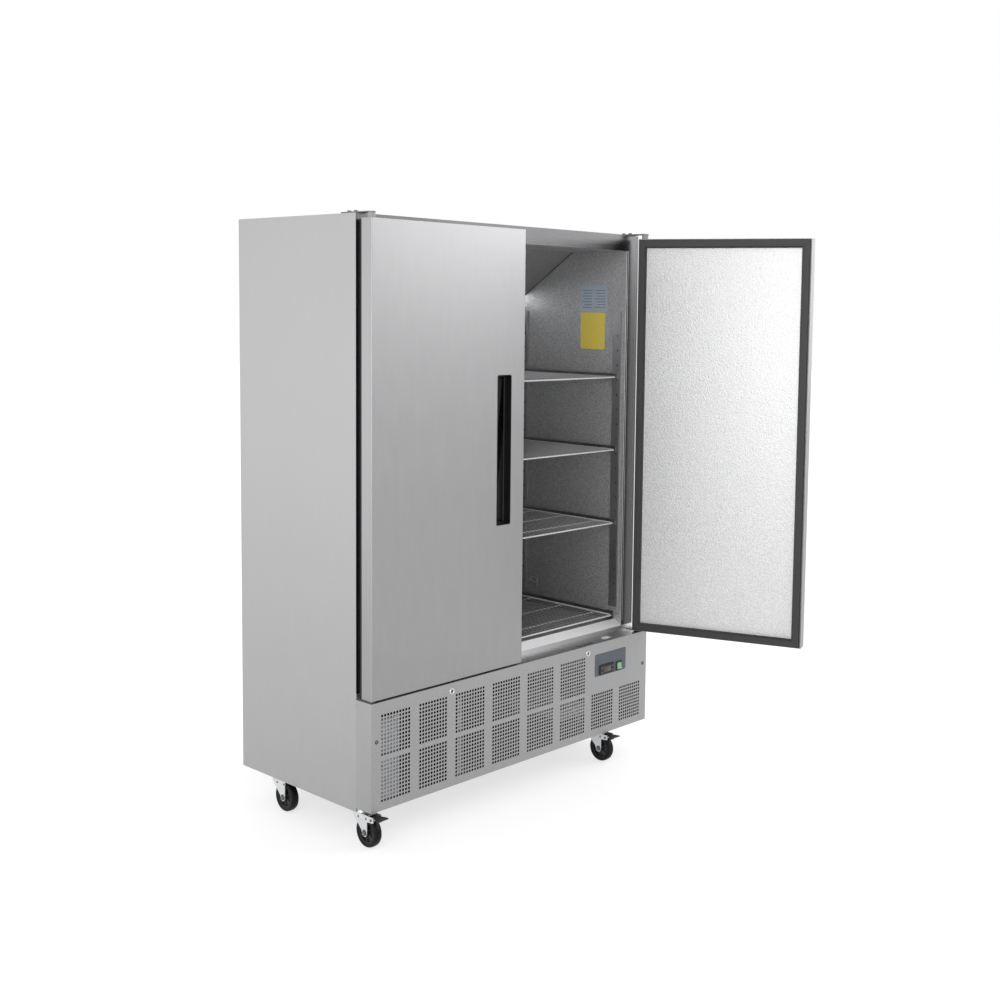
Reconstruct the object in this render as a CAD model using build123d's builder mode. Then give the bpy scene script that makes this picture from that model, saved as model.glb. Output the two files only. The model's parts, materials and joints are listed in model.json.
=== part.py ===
from build123d import *

import os
from math import atan2, cos, degrees, hypot, radians, sin

# Cabinet, in millimetres. X runs to the right seen from the front, Y to the back, Z up.
# While it is built, x = 0 is the middle of the cabinet and y = 0 the face of the front frame.
cabinet_width = 1340.0
cabinet_depth = 625.0
cabinet_top = 1985.0
skirt_bottom = 109.0  # lower edge of the side panels
base_bottom = 126.0  # underside of the base pan, where the casters bolt on
deck_bottom = 432.0  # underside of the insulated body
side_wall = 62.0
rear_wall = 60.0
ceiling_z = 1925.0
floor_z = 508.0
sheet = 1.0
base_sheet = 2.0
side_return = 12.0
frame_bottom = 452.0
head_flange = 86.0  # the frame's head is folded back this far over the foam

# Sill and centre mullion
sill_front_z = 490.0
sill_run = 36.0
sill_rise = 21.0
mullion_half = 42.0
mullion_depth = 58.0
pilaster_depth = 30.0

# Doors
door_bottom = 477.5
door_top = 1969.0
door_inset = 6.2  # door edge to cabinet side
door_half_gap = 5.2  # door edge to the middle of the cabinet
door_face = 69.0  # front of the door, measured forward of the frame
door_back = 20.0  # rear of the folded skin, measured forward of the frame
door_return = 14.0
open_angle = 109.5  # the right-hand door stands open at rest
gasket_margin = 6.0
gasket_width = 28.5
gasket_gap = 1.0
grip_offset = 95.0  # door edge to the middle of the grip
grip_width = 66.0
grip_bottom = 970.0
grip_height = 510.0
grip_depth = 28.0
grip_wall = 2.0
grip_corner = 6.0

# Hinges
pin_radius = 5.0
pin_fit = 0.06
pin_inset = 20.0  # pivot to cabinet side
pin_forward = 50.0  # pivot forward of the frame
pin_length = 26.0
bush_radius = 9.0
bush_flange_radius = 12.0
plate_thickness = 4.0
plate_width = 40.0
plate_rear = 74.0
bolt_flats = 13.0
bolt_head = 5.5
bolt_rows = (24.0, 56.0)
lower_plate = 3.5

# Lower panel with its punched patches
panel_bottom = 123.0
panel_top = 472.0
panel_face = 75.0
hole_size = 6.6
hole_pitch_x = 12.2
hole_pitch_z = 12.4
patch_web = 39.5
patch_columns = (11, 11, 10, 10)  # from the middle of the panel outwards
patch_rows = 11
patch_top_row = 427.5
panel_screw_inset = 23.0
panel_screw_z = 348.0
panel_screw_radius = 4.5

# Controls
plate_x = 373.0
plate_z = 347.0
control_plate_width = 174.5
control_plate_height = 84.0
control_plate_thick = 1.2
control_plate_corner = 7.0
thermostat_x = 436.0
thermostat_z = 368.5
thermostat_width = 78.0
thermostat_height = 36.0
thermostat_proud = 6.0
thermostat_depth = 58.0
bezel_step = 3.5
window_width = 42.0
window_height = 21.0
window_thick = 1.0
button_width = 8.0
button_height = 6.5
button_travel = 0.8
button_length = 4.0
button_slack = 0.3
button_spread_x = 30.0
button_spread_z = 8.0
rocker_x = 508.0
rocker_z = 366.5
rocker_case_width = 32.0
rocker_case_height = 36.0
rocker_case_proud = 3.0
rocker_case_depth = 24.0
rocker_width = 22.0
rocker_half = 12.0
rocker_swing = 24.0
rocker_thick = 7.0
rocker_pin_radius = 1.2
rocker_pin_reach = 1.2  # pin beyond the rocker's side
rocker_pin_fit = 0.15

# Locks in the lower panel
lock_x = 335.0
lock_z = 444.5
lock_radius = 8.0
lock_flange_radius = 10.0
lock_length = 20.0
plug_radius = 5.6
plug_fit = 0.3
cam_reach = 45.0
cam_width = 12.0
cam_thick = 2.5
cam_room = 3.0

# Casters
wheel_radius = 50.0
tyre_width = 28.0
rim_radius = 38.0
hub_length = 31.4
fork_gap = 32.0
fork_sheet = 3.0
caster_trail = 36.0
caster_left_x = -646.0
caster_right_x = 466.0
caster_front_y = 2.0
caster_rear_y = 438.0
crown_bottom = 105.0
crown_top = 108.4
race_radius = 20.0
head_radius = 22.0
head_thick = 7.0
kingpin_radius = 6.0
axle_radius = 6.0
turning_gap = 0.3
leg_end_radius = 13.0
brake_reach = 79.0
brake_pivot_back = 68.0
brake_pivot_z = 98.0
brake_barrel = 5.0
pedal_tip = 118.0
pedal_half_width = 28.0

# Shelving
upright_width = 38.0
upright_depth = 8.0
upright_sheet = 1.2
upright_bottom = 560.0
upright_top = 1693.0
upright_front_y = 22.0
upright_rear_y = 517.0
slot_pitch = 56.3
slot_first = 592.0
slot_count = 19
slot_size = 7.0
shelf_levels = (527.0, 887.0, 1170.0, 1448.0)
shelf_front = 32.0
shelf_back = 552.0
rail_side = 1.5
rail_lip = 15.0
rail_height = 16.0
shelf_side_gap = 1.5
rail_sill_gap = 1.0
frame_wire = 6.0
cross_wire = 5.0
thin_wire = 3.6
thin_wires = 24
cross_wires = (0.17, 0.5, 0.83)  # places of the cross wires, as shares of the depth

# Evaporator under the ceiling
cover_front_y = 283.0
cover_rear_y = 547.0
cover_bottom_z = 1754.0
cold_fan_radius = 86.0
cold_fan_x = 170.0
cold_fan_depth = 30.0
fan_shaft_radius = 3.2
blade_pitch = 28.0
blade_thick = 1.6
coil_thick = 46.0
coil_height = 92.0
coil_length = 1000.0
coil_clear = 42.0
coil_shift = 48.0  # down the slope from the middle of the cover
coil_grooves = 25

# Machine compartment
condenser_left = -640.0
condenser_width = 360.0
condenser_front = -58.0
condenser_thick = 55.0
condenser_bottom = 150.0
condenser_height = 262.0
warm_fan_radius = 115.0
warm_fan_depth = 24.0
compressor_x = 40.0
compressor_y = 300.0
compressor_radius = 92.0
compressor_height = 215.0
tray_x = 333.0
tray_width = 152.0
tray_front = 60.0
tray_depth = 270.0
tray_bottom = 160.0
tray_height = 37.0

half_width = cabinet_width / 2
inner_half = half_width - side_wall
inner_back = cabinet_depth - rear_wall
machine_top = deck_bottom
pivot_x = half_width - pin_inset
door_width = half_width - door_inset - door_half_gap
door_middle = (half_width - door_inset + door_half_gap) / 2
door_height = door_top - door_bottom
door_middle_z = (door_top + door_bottom) / 2

# The row's origin is under the middle of the whole part as it stands, with the right-hand door open.
door_swing = radians(open_angle)
tip_arm = pivot_x - door_half_gap
face_arm = door_face - pin_forward
back_arm = pin_forward - door_back
reach_right = pivot_x - tip_arm * cos(door_swing) + face_arm * sin(door_swing)
reach_front = pin_forward + tip_arm * sin(door_swing) - back_arm * cos(door_swing)
origin_x = (reach_right - half_width) / 2
origin_y = (cabinet_depth - reach_front) / 2

os.makedirs("parts", exist_ok=True)


def save(part, name):
    """Move a finished piece from the cabinet's own centre to the row's origin and write it."""
    placed = part.moved(Location((-origin_x, -origin_y, 0)))
    placed.label = name
    export_step(placed, f"parts/{name}.step")


def facing(y):
    """A plane parallel to the front at depth y: sketch x is X, sketch y is Z, extrude is forward."""
    return Plane.XZ.offset(-y)


def area(low_u, high_u, low_v, high_v, mode=Mode.ADD):
    """A rectangle between two corners of the open sketch."""
    with Locations(((low_u + high_u) / 2, (low_v + high_v) / 2)):
        Rectangle(abs(high_u - low_u), abs(high_v - low_v), mode=mode)


def slab(x, y, z, mode=Mode.ADD):
    """A block between three pairs of limits."""
    with Locations(((x[0] + x[1]) / 2, (y[0] + y[1]) / 2, (z[0] + z[1]) / 2)):
        Box(abs(x[1] - x[0]), abs(y[1] - y[0]), abs(z[1] - z[0]), mode=mode)


def opened(part, side):
    """Swing a right-hand door piece to its rest angle; a left-hand one stays closed."""
    if side < 0:
        return part
    hinge = Axis((pivot_x, -pin_forward, 0), (0, 0, 1))
    return part.rotate(hinge, open_angle)


# Casing

inside = half_width - sheet
base_top = base_bottom + base_sheet
with BuildPart() as side_panels:
    with BuildSketch(Plane.XY.offset(skirt_bottom)):
        area(inside, half_width, 0, cabinet_depth)
    extrude(amount=cabinet_top - skirt_bottom)
    with BuildSketch(Plane.XY.offset(base_top)):
        area(half_width - side_return, half_width, 0, sheet)
        area(half_width - 2 * side_return, half_width, cabinet_depth - sheet, cabinet_depth)
    extrude(amount=cabinet_top - base_top)
    mirror(about=Plane.YZ)
save(side_panels.part, "side_panels")

# One sheet wraps the foam: from the frame's head over the top, down the back and underneath.
with BuildPart() as rear_wrap:
    with BuildSketch(Plane.YZ.offset(-inside)):
        back = cabinet_depth - sheet
        area(head_flange, back, cabinet_top - sheet, cabinet_top)
        area(back - sheet, back, deck_bottom, cabinet_top)
        area(sheet, back, deck_bottom, deck_bottom + sheet)
    extrude(amount=2 * inside)
save(rear_wrap.part, "rear_wrap")

with BuildPart() as rear_guard:
    with BuildSketch(facing(cabinet_depth - sheet)):
        area(-inside, inside, base_top, deck_bottom)
        with Locations((0, (base_bottom + deck_bottom) / 2)):
            with GridLocations(420.0, 30.0, 3, 7):
                Rectangle(340.0, 9.0, mode=Mode.SUBTRACT)
    extrude(amount=sheet)
save(rear_guard.part, "rear_guard")

# The frame's face with its folded head, two sloped sills and a boxed mullion are one weldment.
frame_half = half_width - side_return
with BuildPart() as front_frame:
    with BuildSketch(facing(sheet)):
        area(-frame_half, frame_half, frame_bottom, cabinet_top - sheet)
        for side in (-1, 1):
            area(side * mullion_half, side * inner_half, sill_front_z, ceiling_z, Mode.SUBTRACT)
    extrude(amount=sheet)
    with BuildSketch(Plane.YZ.offset(mullion_half)):
        with BuildLine():
            Polyline(
                (sheet, sill_front_z),
                (sill_run, sill_front_z + sill_rise),
                (sill_run, floor_z),
                (sill_run - sheet, floor_z),
                (sill_run - sheet, sill_front_z + sill_rise - 2 * sheet),
                (sheet, sill_front_z - sheet),
                close=True,
            )
        make_face()
    sill = extrude(amount=inner_half - mullion_half)
    mirror(sill, about=Plane.YZ)
    with BuildSketch(Plane.XY.offset(sill_front_z)):
        area(-mullion_half, mullion_half, sheet, sill_run)
        area(sheet - mullion_half, mullion_half - sheet, sheet, sill_run, Mode.SUBTRACT)
    extrude(amount=floor_z - sill_front_z)
    with BuildSketch(Plane.XY.offset(cabinet_top - sheet)):
        area(-frame_half, frame_half, 0, sheet)
        area(-inside, inside, sheet, head_flange)
    extrude(amount=sheet)
    with BuildSketch(Plane.XY.offset(floor_z)):
        area(-mullion_half, mullion_half, sheet, mullion_depth)
        area(sheet - mullion_half, mullion_half - sheet, sheet, mullion_depth - sheet, Mode.SUBTRACT)
    extrude(amount=ceiling_z - floor_z)
save(front_frame.part, "front_frame")

with BuildPart() as lining:
    slab(
        (-inner_half - sheet, inner_half + sheet),
        (sheet, inner_back + sheet),
        (floor_z - sheet, ceiling_z + sheet),
    )
    slab((-inner_half, inner_half), (sheet, inner_back), (floor_z, ceiling_z), Mode.SUBTRACT)
    slab((-inner_half, inner_half), (sheet, sill_run), (floor_z - sheet, floor_z), Mode.SUBTRACT)
    for side in (-1, 1):
        wall_x = (side * inner_half, side * (inner_half + sheet))
        slab(wall_x, (sheet, sill_run), (sill_front_z - sheet, floor_z))
save(lining.part, "lining")

with BuildPart() as insulation:
    slab(
        (-inside, inside),
        (sheet, cabinet_depth - 2 * sheet),
        (deck_bottom + sheet, cabinet_top - sheet),
    )
    slab(
        (-inner_half - sheet, inner_half + sheet),
        (sheet, inner_back + sheet),
        (floor_z - sheet, ceiling_z + sheet),
        Mode.SUBTRACT,
    )
    slab(
        (-inner_half - sheet, inner_half + sheet),
        (sheet, sill_run),
        (sill_front_z - sheet, floor_z),
        Mode.SUBTRACT,
    )
save(insulation.part, "insulation")

with BuildPart() as base_pan:
    with BuildSketch(Plane.XY.offset(base_bottom)):
        area(-inside, inside, 3 * sheet - panel_face, cabinet_depth - 2 * sheet)
    extrude(amount=base_sheet)
    rim_z = (base_top, base_top + 12 * base_sheet)
    slab((-inside, inside), (3 * sheet - panel_face, 5 * sheet - panel_face), rim_z)
    slab((-inside, inside), (cabinet_depth - 4 * sheet, cabinet_depth - 2 * sheet), rim_z)
save(base_pan.part, "base_pan")

# Lower panel, with each row of punched holes cut as one slot


def patch_centres():
    """Middle of each patch and its width between outer holes, from the middle outwards."""
    places = []
    edge = patch_web / 2 + hole_size / 2
    for columns in patch_columns:
        span = (columns - 1) * hole_pitch_x
        places.append((edge + span / 2, span))
        edge = edge + span + patch_web + hole_size
    return places


with BuildPart() as lower_panel:
    with BuildSketch(facing(sheet - panel_face)):
        area(-half_width, half_width, panel_bottom, panel_top)
        for side in (-1, 1):
            for number, (centre, span) in enumerate(patch_centres()):
                for row in range(2 * patch_rows + 1):
                    behind_controls = side > 0 and number > 1 and row < patch_rows
                    if row == patch_rows or behind_controls:
                        continue
                    with Locations((side * centre, patch_top_row - row * hole_pitch_z)):
                        Rectangle(span + hole_size, hole_size, mode=Mode.SUBTRACT)
            with Locations((side * lock_x, lock_z)):
                Circle(lock_radius, mode=Mode.SUBTRACT)
            with Locations((side * (half_width - panel_screw_inset), panel_screw_z)):
                Circle(panel_screw_radius / 2, mode=Mode.SUBTRACT)
        with Locations((thermostat_x, thermostat_z)):
            Rectangle(
                thermostat_width - 2 * bezel_step,
                thermostat_height - 2 * bezel_step,
                mode=Mode.SUBTRACT,
            )
        with Locations((rocker_x, rocker_z)):
            Rectangle(
                rocker_case_width - 2 * sheet,
                rocker_case_height - 2 * sheet,
                mode=Mode.SUBTRACT,
            )
    extrude(amount=sheet)
    for side in (-1, 1):
        flange_x = (side * half_width, side * (half_width - sheet))
        slab(flange_x, (sheet - panel_face, 0), (panel_bottom, panel_top))
    with BuildSketch(Plane.XY.offset(panel_top - sheet)):
        area(-half_width + sheet, half_width - sheet, sheet - panel_face, 0)
        for side in (-1, 1):
            cam_y = lock_length + cam_thick / 2 - panel_face
            with Locations((side * lock_x, cam_y)):
                Rectangle(2 * cam_reach, cam_thick + 2 * cam_room, mode=Mode.SUBTRACT)
    extrude(amount=sheet)
save(lower_panel.part, "lower_panel")

# Controls

control_face = panel_face + control_plate_thick
with BuildPart() as control_plate:
    with BuildSketch(facing(-panel_face)):
        with Locations(
            (plate_x + control_plate_width / 2, plate_z + control_plate_height / 2)
        ):
            RectangleRounded(control_plate_width, control_plate_height, control_plate_corner)
        with Locations((thermostat_x, thermostat_z)):
            Rectangle(
                thermostat_width - 2 * bezel_step,
                thermostat_height - 2 * bezel_step,
                mode=Mode.SUBTRACT,
            )
        with Locations((rocker_x, rocker_z)):
            Rectangle(
                rocker_case_width - 2 * sheet,
                rocker_case_height - 2 * sheet,
                mode=Mode.SUBTRACT,
            )
    extrude(amount=control_plate_thick)
save(control_plate.part, "control_plate")

with BuildPart() as thermostat:
    with BuildSketch(facing(-control_face)):
        with Locations((thermostat_x, thermostat_z)):
            RectangleRounded(thermostat_width, thermostat_height, 2 * sheet)
    extrude(amount=thermostat_proud)
    chamfer(thermostat.faces().sort_by(Axis.Y)[0].edges(), length=1.2)
    with BuildSketch(facing(-control_face)):
        with Locations((thermostat_x, thermostat_z)):
            Rectangle(
                thermostat_width - 2 * bezel_step - sheet,
                thermostat_height - 2 * bezel_step - sheet,
            )
    extrude(amount=-thermostat_depth)
    with BuildSketch(facing(-control_face - thermostat_proud)):
        with Locations((thermostat_x, thermostat_z)):
            Rectangle(window_width, window_height)
    extrude(amount=-window_thick, mode=Mode.SUBTRACT)
    with BuildSketch(facing(-control_face - thermostat_proud)):
        with Locations((thermostat_x, thermostat_z)):
            with GridLocations(2 * button_spread_x, 2 * button_spread_z, 2, 2):
                Rectangle(button_width + 2 * button_slack, button_height + 2 * button_slack)
    extrude(amount=-button_length - button_travel, mode=Mode.SUBTRACT)
save(thermostat.part, "thermostat")

button_places = (("set", -1, 1), ("defrost", -1, -1), ("up", 1, 1), ("down", 1, -1))
for word, across, above in button_places:
    with BuildPart() as button:
        with BuildSketch(facing(button_length - control_face - thermostat_proud)):
            with Locations(
                (
                    thermostat_x + across * button_spread_x,
                    thermostat_z + above * button_spread_z,
                )
            ):
                RectangleRounded(button_width, button_height, sheet)
        extrude(amount=button_length + button_travel)
    save(button.part, f"button_{word}")

rocker_y = -control_face - sheet
with BuildPart() as rocker_case:
    with BuildSketch(facing(-control_face)):
        with Locations((rocker_x, rocker_z)):
            RectangleRounded(rocker_case_width, rocker_case_height, 2 * sheet)
    extrude(amount=rocker_case_proud)
    with BuildSketch(facing(-control_face)):
        with Locations((rocker_x, rocker_z)):
            Rectangle(rocker_case_width - 3 * sheet, rocker_case_height - 3 * sheet)
    extrude(amount=-rocker_case_depth)
    with BuildSketch(facing(-control_face - rocker_case_proud)):
        with Locations((rocker_x, rocker_z)):
            Rectangle(rocker_width + sheet, rocker_case_height - 6 * sheet)
    extrude(amount=-rocker_case_depth / 2 - rocker_case_proud, mode=Mode.SUBTRACT)
    with Locations((rocker_x, rocker_y, rocker_z)):
        Cylinder(
            rocker_pin_radius + rocker_pin_fit,
            rocker_width + 2 * rocker_pin_reach + 2 * turning_gap,
            rotation=(0, 90, 0),
            mode=Mode.SUBTRACT,
        )
save(rocker_case.part, "rocker_case")

# The rocker's front is a shallow V: its upper half is flush, its lower half stands out.
with BuildPart() as rocker:
    with BuildSketch(Plane.YZ.offset(rocker_x - rocker_width / 2)):
        tilt = radians(rocker_swing)
        with BuildLine():
            Polyline(
                (rocker_y - rocker_case_proud, rocker_z + rocker_half),
                (rocker_y - rocker_case_proud, rocker_z),
                (
                    rocker_y - rocker_case_proud - rocker_half * sin(tilt),
                    rocker_z - rocker_half * cos(tilt),
                ),
                (rocker_y + rocker_thick / 2, rocker_z - rocker_half / 2),
                (rocker_y + rocker_thick, rocker_z),
                (rocker_y + rocker_thick / 2, rocker_z + rocker_half / 2),
                close=True,
            )
        make_face()
    extrude(amount=rocker_width)
    with Locations((rocker_x, rocker_y, rocker_z)):
        Cylinder(
            rocker_pin_radius, rocker_width + 2 * rocker_pin_reach, rotation=(0, 90, 0)
        )
save(rocker.part, "rocker")

# Locks: a barrel through the panel, and a turning plug whose cam rises into the door

with BuildPart() as lock_barrels:
    for side in (-1, 1):
        with BuildSketch(facing(-panel_face)):
            with Locations((side * lock_x, lock_z)):
                Circle(lock_flange_radius)
        extrude(amount=2 * sheet)
        with BuildSketch(facing(-panel_face)):
            with Locations((side * lock_x, lock_z)):
                Circle(lock_radius - sheet / 4)
        extrude(amount=-lock_length + sheet)
        with BuildSketch(facing(-panel_face - 2 * sheet)):
            with Locations((side * lock_x, lock_z)):
                Circle(plug_radius + plug_fit)
        extrude(amount=-lock_length - 2 * sheet, mode=Mode.SUBTRACT)
save(lock_barrels.part, "lock_barrels")

for side, word in ((-1, "left"), (1, "right")):
    plug_front = -panel_face - 2 * sheet
    cam_front = lock_length - panel_face
    with BuildPart() as lock_plug:
        with BuildSketch(facing(cam_front)):
            with Locations((side * lock_x, lock_z)):
                Circle(plug_radius)
        extrude(amount=cam_front - plug_front)
        with BuildSketch(facing(plug_front)):
            with Locations((side * lock_x, lock_z)):
                Rectangle(sheet, plug_radius)
        extrude(amount=-lock_length / 2, mode=Mode.SUBTRACT)
        with BuildSketch(facing(cam_front + cam_thick)):
            with Locations((side * (lock_x - cam_reach / 2 + cam_width / 2), lock_z)):
                SlotOverall(cam_reach, cam_width)
        extrude(amount=cam_thick)
    save(lock_plug.part, f"lock_plug_{word}")

# Hinges: a plate on the roof and one over the lower panel, each with a pin into the door

with BuildPart() as hinge_plates:
    for side in (-1, 1):
        pin_x = side * pivot_x
        nose = plate_width / 3
        wide = plate_width / 2 - sheet
        with BuildSketch(Plane.XY.offset(cabinet_top)):
            with BuildLine():
                Polyline(
                    (pin_x + nose, -pin_forward),
                    (pin_x + wide, sheet),
                    (pin_x + wide, plate_rear),
                    (pin_x - wide, plate_rear),
                    (pin_x - wide, sheet),
                    (pin_x - nose, -pin_forward),
                )
                ThreePointArc(
                    (pin_x - nose, -pin_forward),
                    (pin_x, -pin_forward - nose),
                    (pin_x + nose, -pin_forward),
                )
            make_face()
        extrude(amount=plate_thickness)
        with BuildSketch(Plane.XY.offset(cabinet_top)):
            with Locations((pin_x, -pin_forward)):
                Circle(pin_radius)
        extrude(amount=-(cabinet_top - door_top) - pin_length)
        with BuildSketch(Plane.XY.offset(panel_top)):
            area(pin_x - nose, pin_x + nose, -pin_forward, 0)
            with Locations((pin_x, -pin_forward)):
                Circle(nose)
        extrude(amount=lower_plate)
        with BuildSketch(Plane.XY.offset(panel_top)):
            with Locations((pin_x, -pin_forward)):
                Circle(pin_radius)
        extrude(amount=door_bottom - panel_top + pin_length)
save(hinge_plates.part, "hinge_plates")

with BuildPart() as hinge_bushes:
    for side in (-1, 1):
        for end, seat, up in (
            (door_bottom, panel_top + lower_plate, 1),
            (door_top, cabinet_top, -1),
        ):
            with BuildSketch(Plane.XY.offset(seat)):
                with Locations((side * pivot_x, -pin_forward)):
                    Circle(bush_flange_radius)
                    Circle(pin_radius + pin_fit, mode=Mode.SUBTRACT)
            extrude(amount=end - seat - up * turning_gap)
            with BuildSketch(Plane.XY.offset(seat)):
                with Locations((side * pivot_x, -pin_forward)):
                    Circle(bush_radius - pin_fit)
                    Circle(pin_radius + pin_fit, mode=Mode.SUBTRACT)
            extrude(amount=end - seat + up * pin_length)
save(hinge_bushes.part, "hinge_bushes")

with BuildPart() as screws:
    for side in (-1, 1):
        for row in bolt_rows:
            with BuildSketch(Plane.XY.offset(cabinet_top + plate_thickness)):
                with Locations((side * pivot_x, row)):
                    RegularPolygon(bolt_flats / 2, 6, major_radius=False)
            extrude(amount=bolt_head)
        with BuildSketch(facing(-panel_face)):
            with Locations((side * (half_width - panel_screw_inset), panel_screw_z)):
                Circle(panel_screw_radius)
        extrude(amount=2 * sheet)
save(screws.part, "screws")

# Doors


def door_limits(side, inset):
    """The door's edges across, drawn in by inset, nearer edge first."""
    return side * (door_half_gap + inset), side * (half_width - door_inset - inset)


for side, word in ((-1, "left"), (1, "right")):
    grip_x = side * (door_half_gap + grip_offset)
    grip_z = grip_bottom + grip_height / 2
    pin_x = side * pivot_x
    slot_y = lock_length + cam_thick / 2 - panel_face

    with BuildPart() as door_skin:
        with BuildSketch(facing(-door_back)):
            area(*door_limits(side, 0), door_bottom, door_top)
        extrude(amount=door_face - door_back)
        fillet(door_skin.faces().sort_by(Axis.Y)[0].edges().filter_by(Axis.Z), radius=2.5)
        with BuildSketch(facing(-door_back)):
            area(*door_limits(side, sheet), door_bottom + sheet, door_top - sheet)
        extrude(amount=door_face - door_back - sheet, mode=Mode.SUBTRACT)
        with BuildSketch(facing(-door_back)):
            area(*door_limits(side, sheet), door_bottom + sheet, door_top - sheet)
            area(
                *door_limits(side, door_return),
                door_bottom + door_return,
                door_top - door_return,
                Mode.SUBTRACT,
            )
        extrude(amount=sheet)
        with BuildSketch(facing(-door_face)):
            with Locations((grip_x, grip_z)):
                RectangleRounded(
                    grip_width - 2 * grip_wall, grip_height - 2 * grip_wall, grip_corner
                )
        extrude(amount=-2 * sheet, mode=Mode.SUBTRACT)
        with Locations((pin_x, -pin_forward, door_middle_z)):
            Cylinder(bush_radius, door_height + 2 * sheet, mode=Mode.SUBTRACT)
        with Locations((side * lock_x, slot_y, door_bottom)):
            Box(2 * cam_reach, cam_thick + 2 * cam_room, 4 * sheet, mode=Mode.SUBTRACT)
    save(opened(door_skin.part, side), f"door_skin_{word}")

    with BuildPart() as door_foam:
        with BuildSketch(facing(-door_back - sheet)):
            area(*door_limits(side, 3 * sheet), door_bottom + sheet, door_top - sheet)
        extrude(amount=door_face - door_back - 2 * sheet)
        with BuildSketch(facing(-door_back)):
            area(
                *door_limits(side, door_return),
                door_bottom + door_return,
                door_top - door_return,
            )
        extrude(amount=sheet)
        with BuildSketch(facing(-door_face)):
            with Locations((grip_x, grip_z)):
                RectangleRounded(
                    grip_width - 2 * grip_wall, grip_height - 2 * grip_wall, grip_corner
                )
        extrude(amount=-grip_depth - grip_wall, mode=Mode.SUBTRACT)
        for end in (door_bottom, door_top):
            with Locations((pin_x, -pin_forward, end)):
                Cylinder(bush_radius, 2 * pin_length + 2 * sheet, mode=Mode.SUBTRACT)
        with Locations((side * lock_x, slot_y, door_bottom)):
            Box(2 * cam_reach, cam_thick + 2 * cam_room, cam_reach, mode=Mode.SUBTRACT)
    save(opened(door_foam.part, side), f"door_foam_{word}")

    with BuildPart() as door_inner:
        with BuildSketch(facing(sheet - door_back)):
            area(*door_limits(side, 3 * sheet), door_bottom + 3 * sheet, door_top - 3 * sheet)
        extrude(amount=sheet)
    save(opened(door_inner.part, side), f"door_inner_{word}")

    with BuildPart() as gasket:
        with BuildSketch(facing(-gasket_gap)):
            area(
                *door_limits(side, gasket_margin),
                door_bottom + gasket_margin,
                door_top - gasket_margin,
            )
            inner = gasket_margin + gasket_width
            area(*door_limits(side, inner), door_bottom + inner, door_top - inner, Mode.SUBTRACT)
        extrude(amount=door_back - sheet - gasket_gap)
        chamfer(gasket.faces().sort_by(Axis.Y)[-1].edges(), length=5.0)
    save(opened(gasket.part, side), f"gasket_{word}")

    with BuildPart() as grip:
        with BuildSketch(facing(-door_face)):
            with Locations((grip_x, grip_z)):
                RectangleRounded(grip_width, grip_height, grip_corner)
        extrude(amount=sheet)
        with BuildSketch(facing(-door_face)):
            with Locations((grip_x, grip_z)):
                RectangleRounded(
                    grip_width - 2 * grip_wall, grip_height - 2 * grip_wall, grip_corner
                )
        extrude(amount=-grip_depth)
        with BuildSketch(facing(-door_face - sheet)):
            with Locations((grip_x, grip_z)):
                Rectangle(grip_width - 4 * grip_wall, grip_height - 4 * grip_wall)
        extrude(amount=-grip_depth - sheet + grip_wall, mode=Mode.SUBTRACT)
        with BuildSketch(facing(grip_depth - grip_wall - door_face)):
            with Locations((grip_x - side * grip_width / 10, grip_z)):
                Rectangle(2 * grip_wall, grip_height - 4 * grip_wall)
        extrude(amount=grip_depth / 3)
    save(opened(grip.part, side), f"grip_{word}")

# Uprights, rails and shelves


def upright_strip(x, away, y):
    """One slotted strip; x is the wall it stands on and away points into the compartment."""
    with BuildPart() as strip:
        with BuildSketch(Plane.XY.offset(upright_bottom)):
            area(x, x + away * upright_depth, y, y + upright_width)
            area(
                x,
                x + away * (upright_depth - upright_sheet),
                y + upright_sheet,
                y + upright_width - upright_sheet,
                Mode.SUBTRACT,
            )
        extrude(amount=upright_top - upright_bottom)
        for number in range(slot_count):
            with Locations((x + away * upright_depth, y + 13.0, slot_first + number * slot_pitch)):
                Box(4 * upright_sheet, slot_size, slot_size, mode=Mode.SUBTRACT)
    return strip.part


strips = []
for side in (-1, 1):
    for y in (upright_front_y, upright_rear_y):
        strips.append(upright_strip(side * inner_half, -side, y))
    strips.append(upright_strip(side * mullion_half, side, upright_front_y - 6.0))
    strips.append(upright_strip(side * mullion_half, side, inner_back - upright_width))
with BuildPart() as pilaster:
    with BuildSketch(Plane.XY.offset(upright_bottom)):
        area(-mullion_half, mullion_half, inner_back - upright_width, inner_back)
        area(
            sheet - mullion_half,
            mullion_half - sheet,
            inner_back - upright_width + sheet,
            inner_back,
            Mode.SUBTRACT,
        )
    extrude(amount=upright_top - upright_bottom)
save(Compound([strip.solid() for strip in strips] + [pilaster.part.solid()]), "uprights")

rail_wall = inner_half - upright_depth
rail_centre = mullion_half + upright_depth
shelf_low_x = rail_centre + rail_side + shelf_side_gap
shelf_high_x = rail_wall - rail_side - shelf_side_gap

with BuildPart() as shelf_rails:
    for level in shelf_levels:
        under = level - frame_wire / 2
        for face_x, away in ((rail_centre, 1), (rail_wall, -1)):
            with BuildSketch(facing(shelf_back)):
                foot = floor_z if level == shelf_levels[0] else under - rail_side
                area(face_x, face_x + away * rail_side, foot, under + rail_height)
                area(face_x, face_x + away * rail_lip, under - rail_side, under)
            extrude(amount=shelf_back - sill_run - rail_sill_gap)
    mirror(about=Plane.YZ)
save(shelf_rails.part, "shelf_rails")


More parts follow.
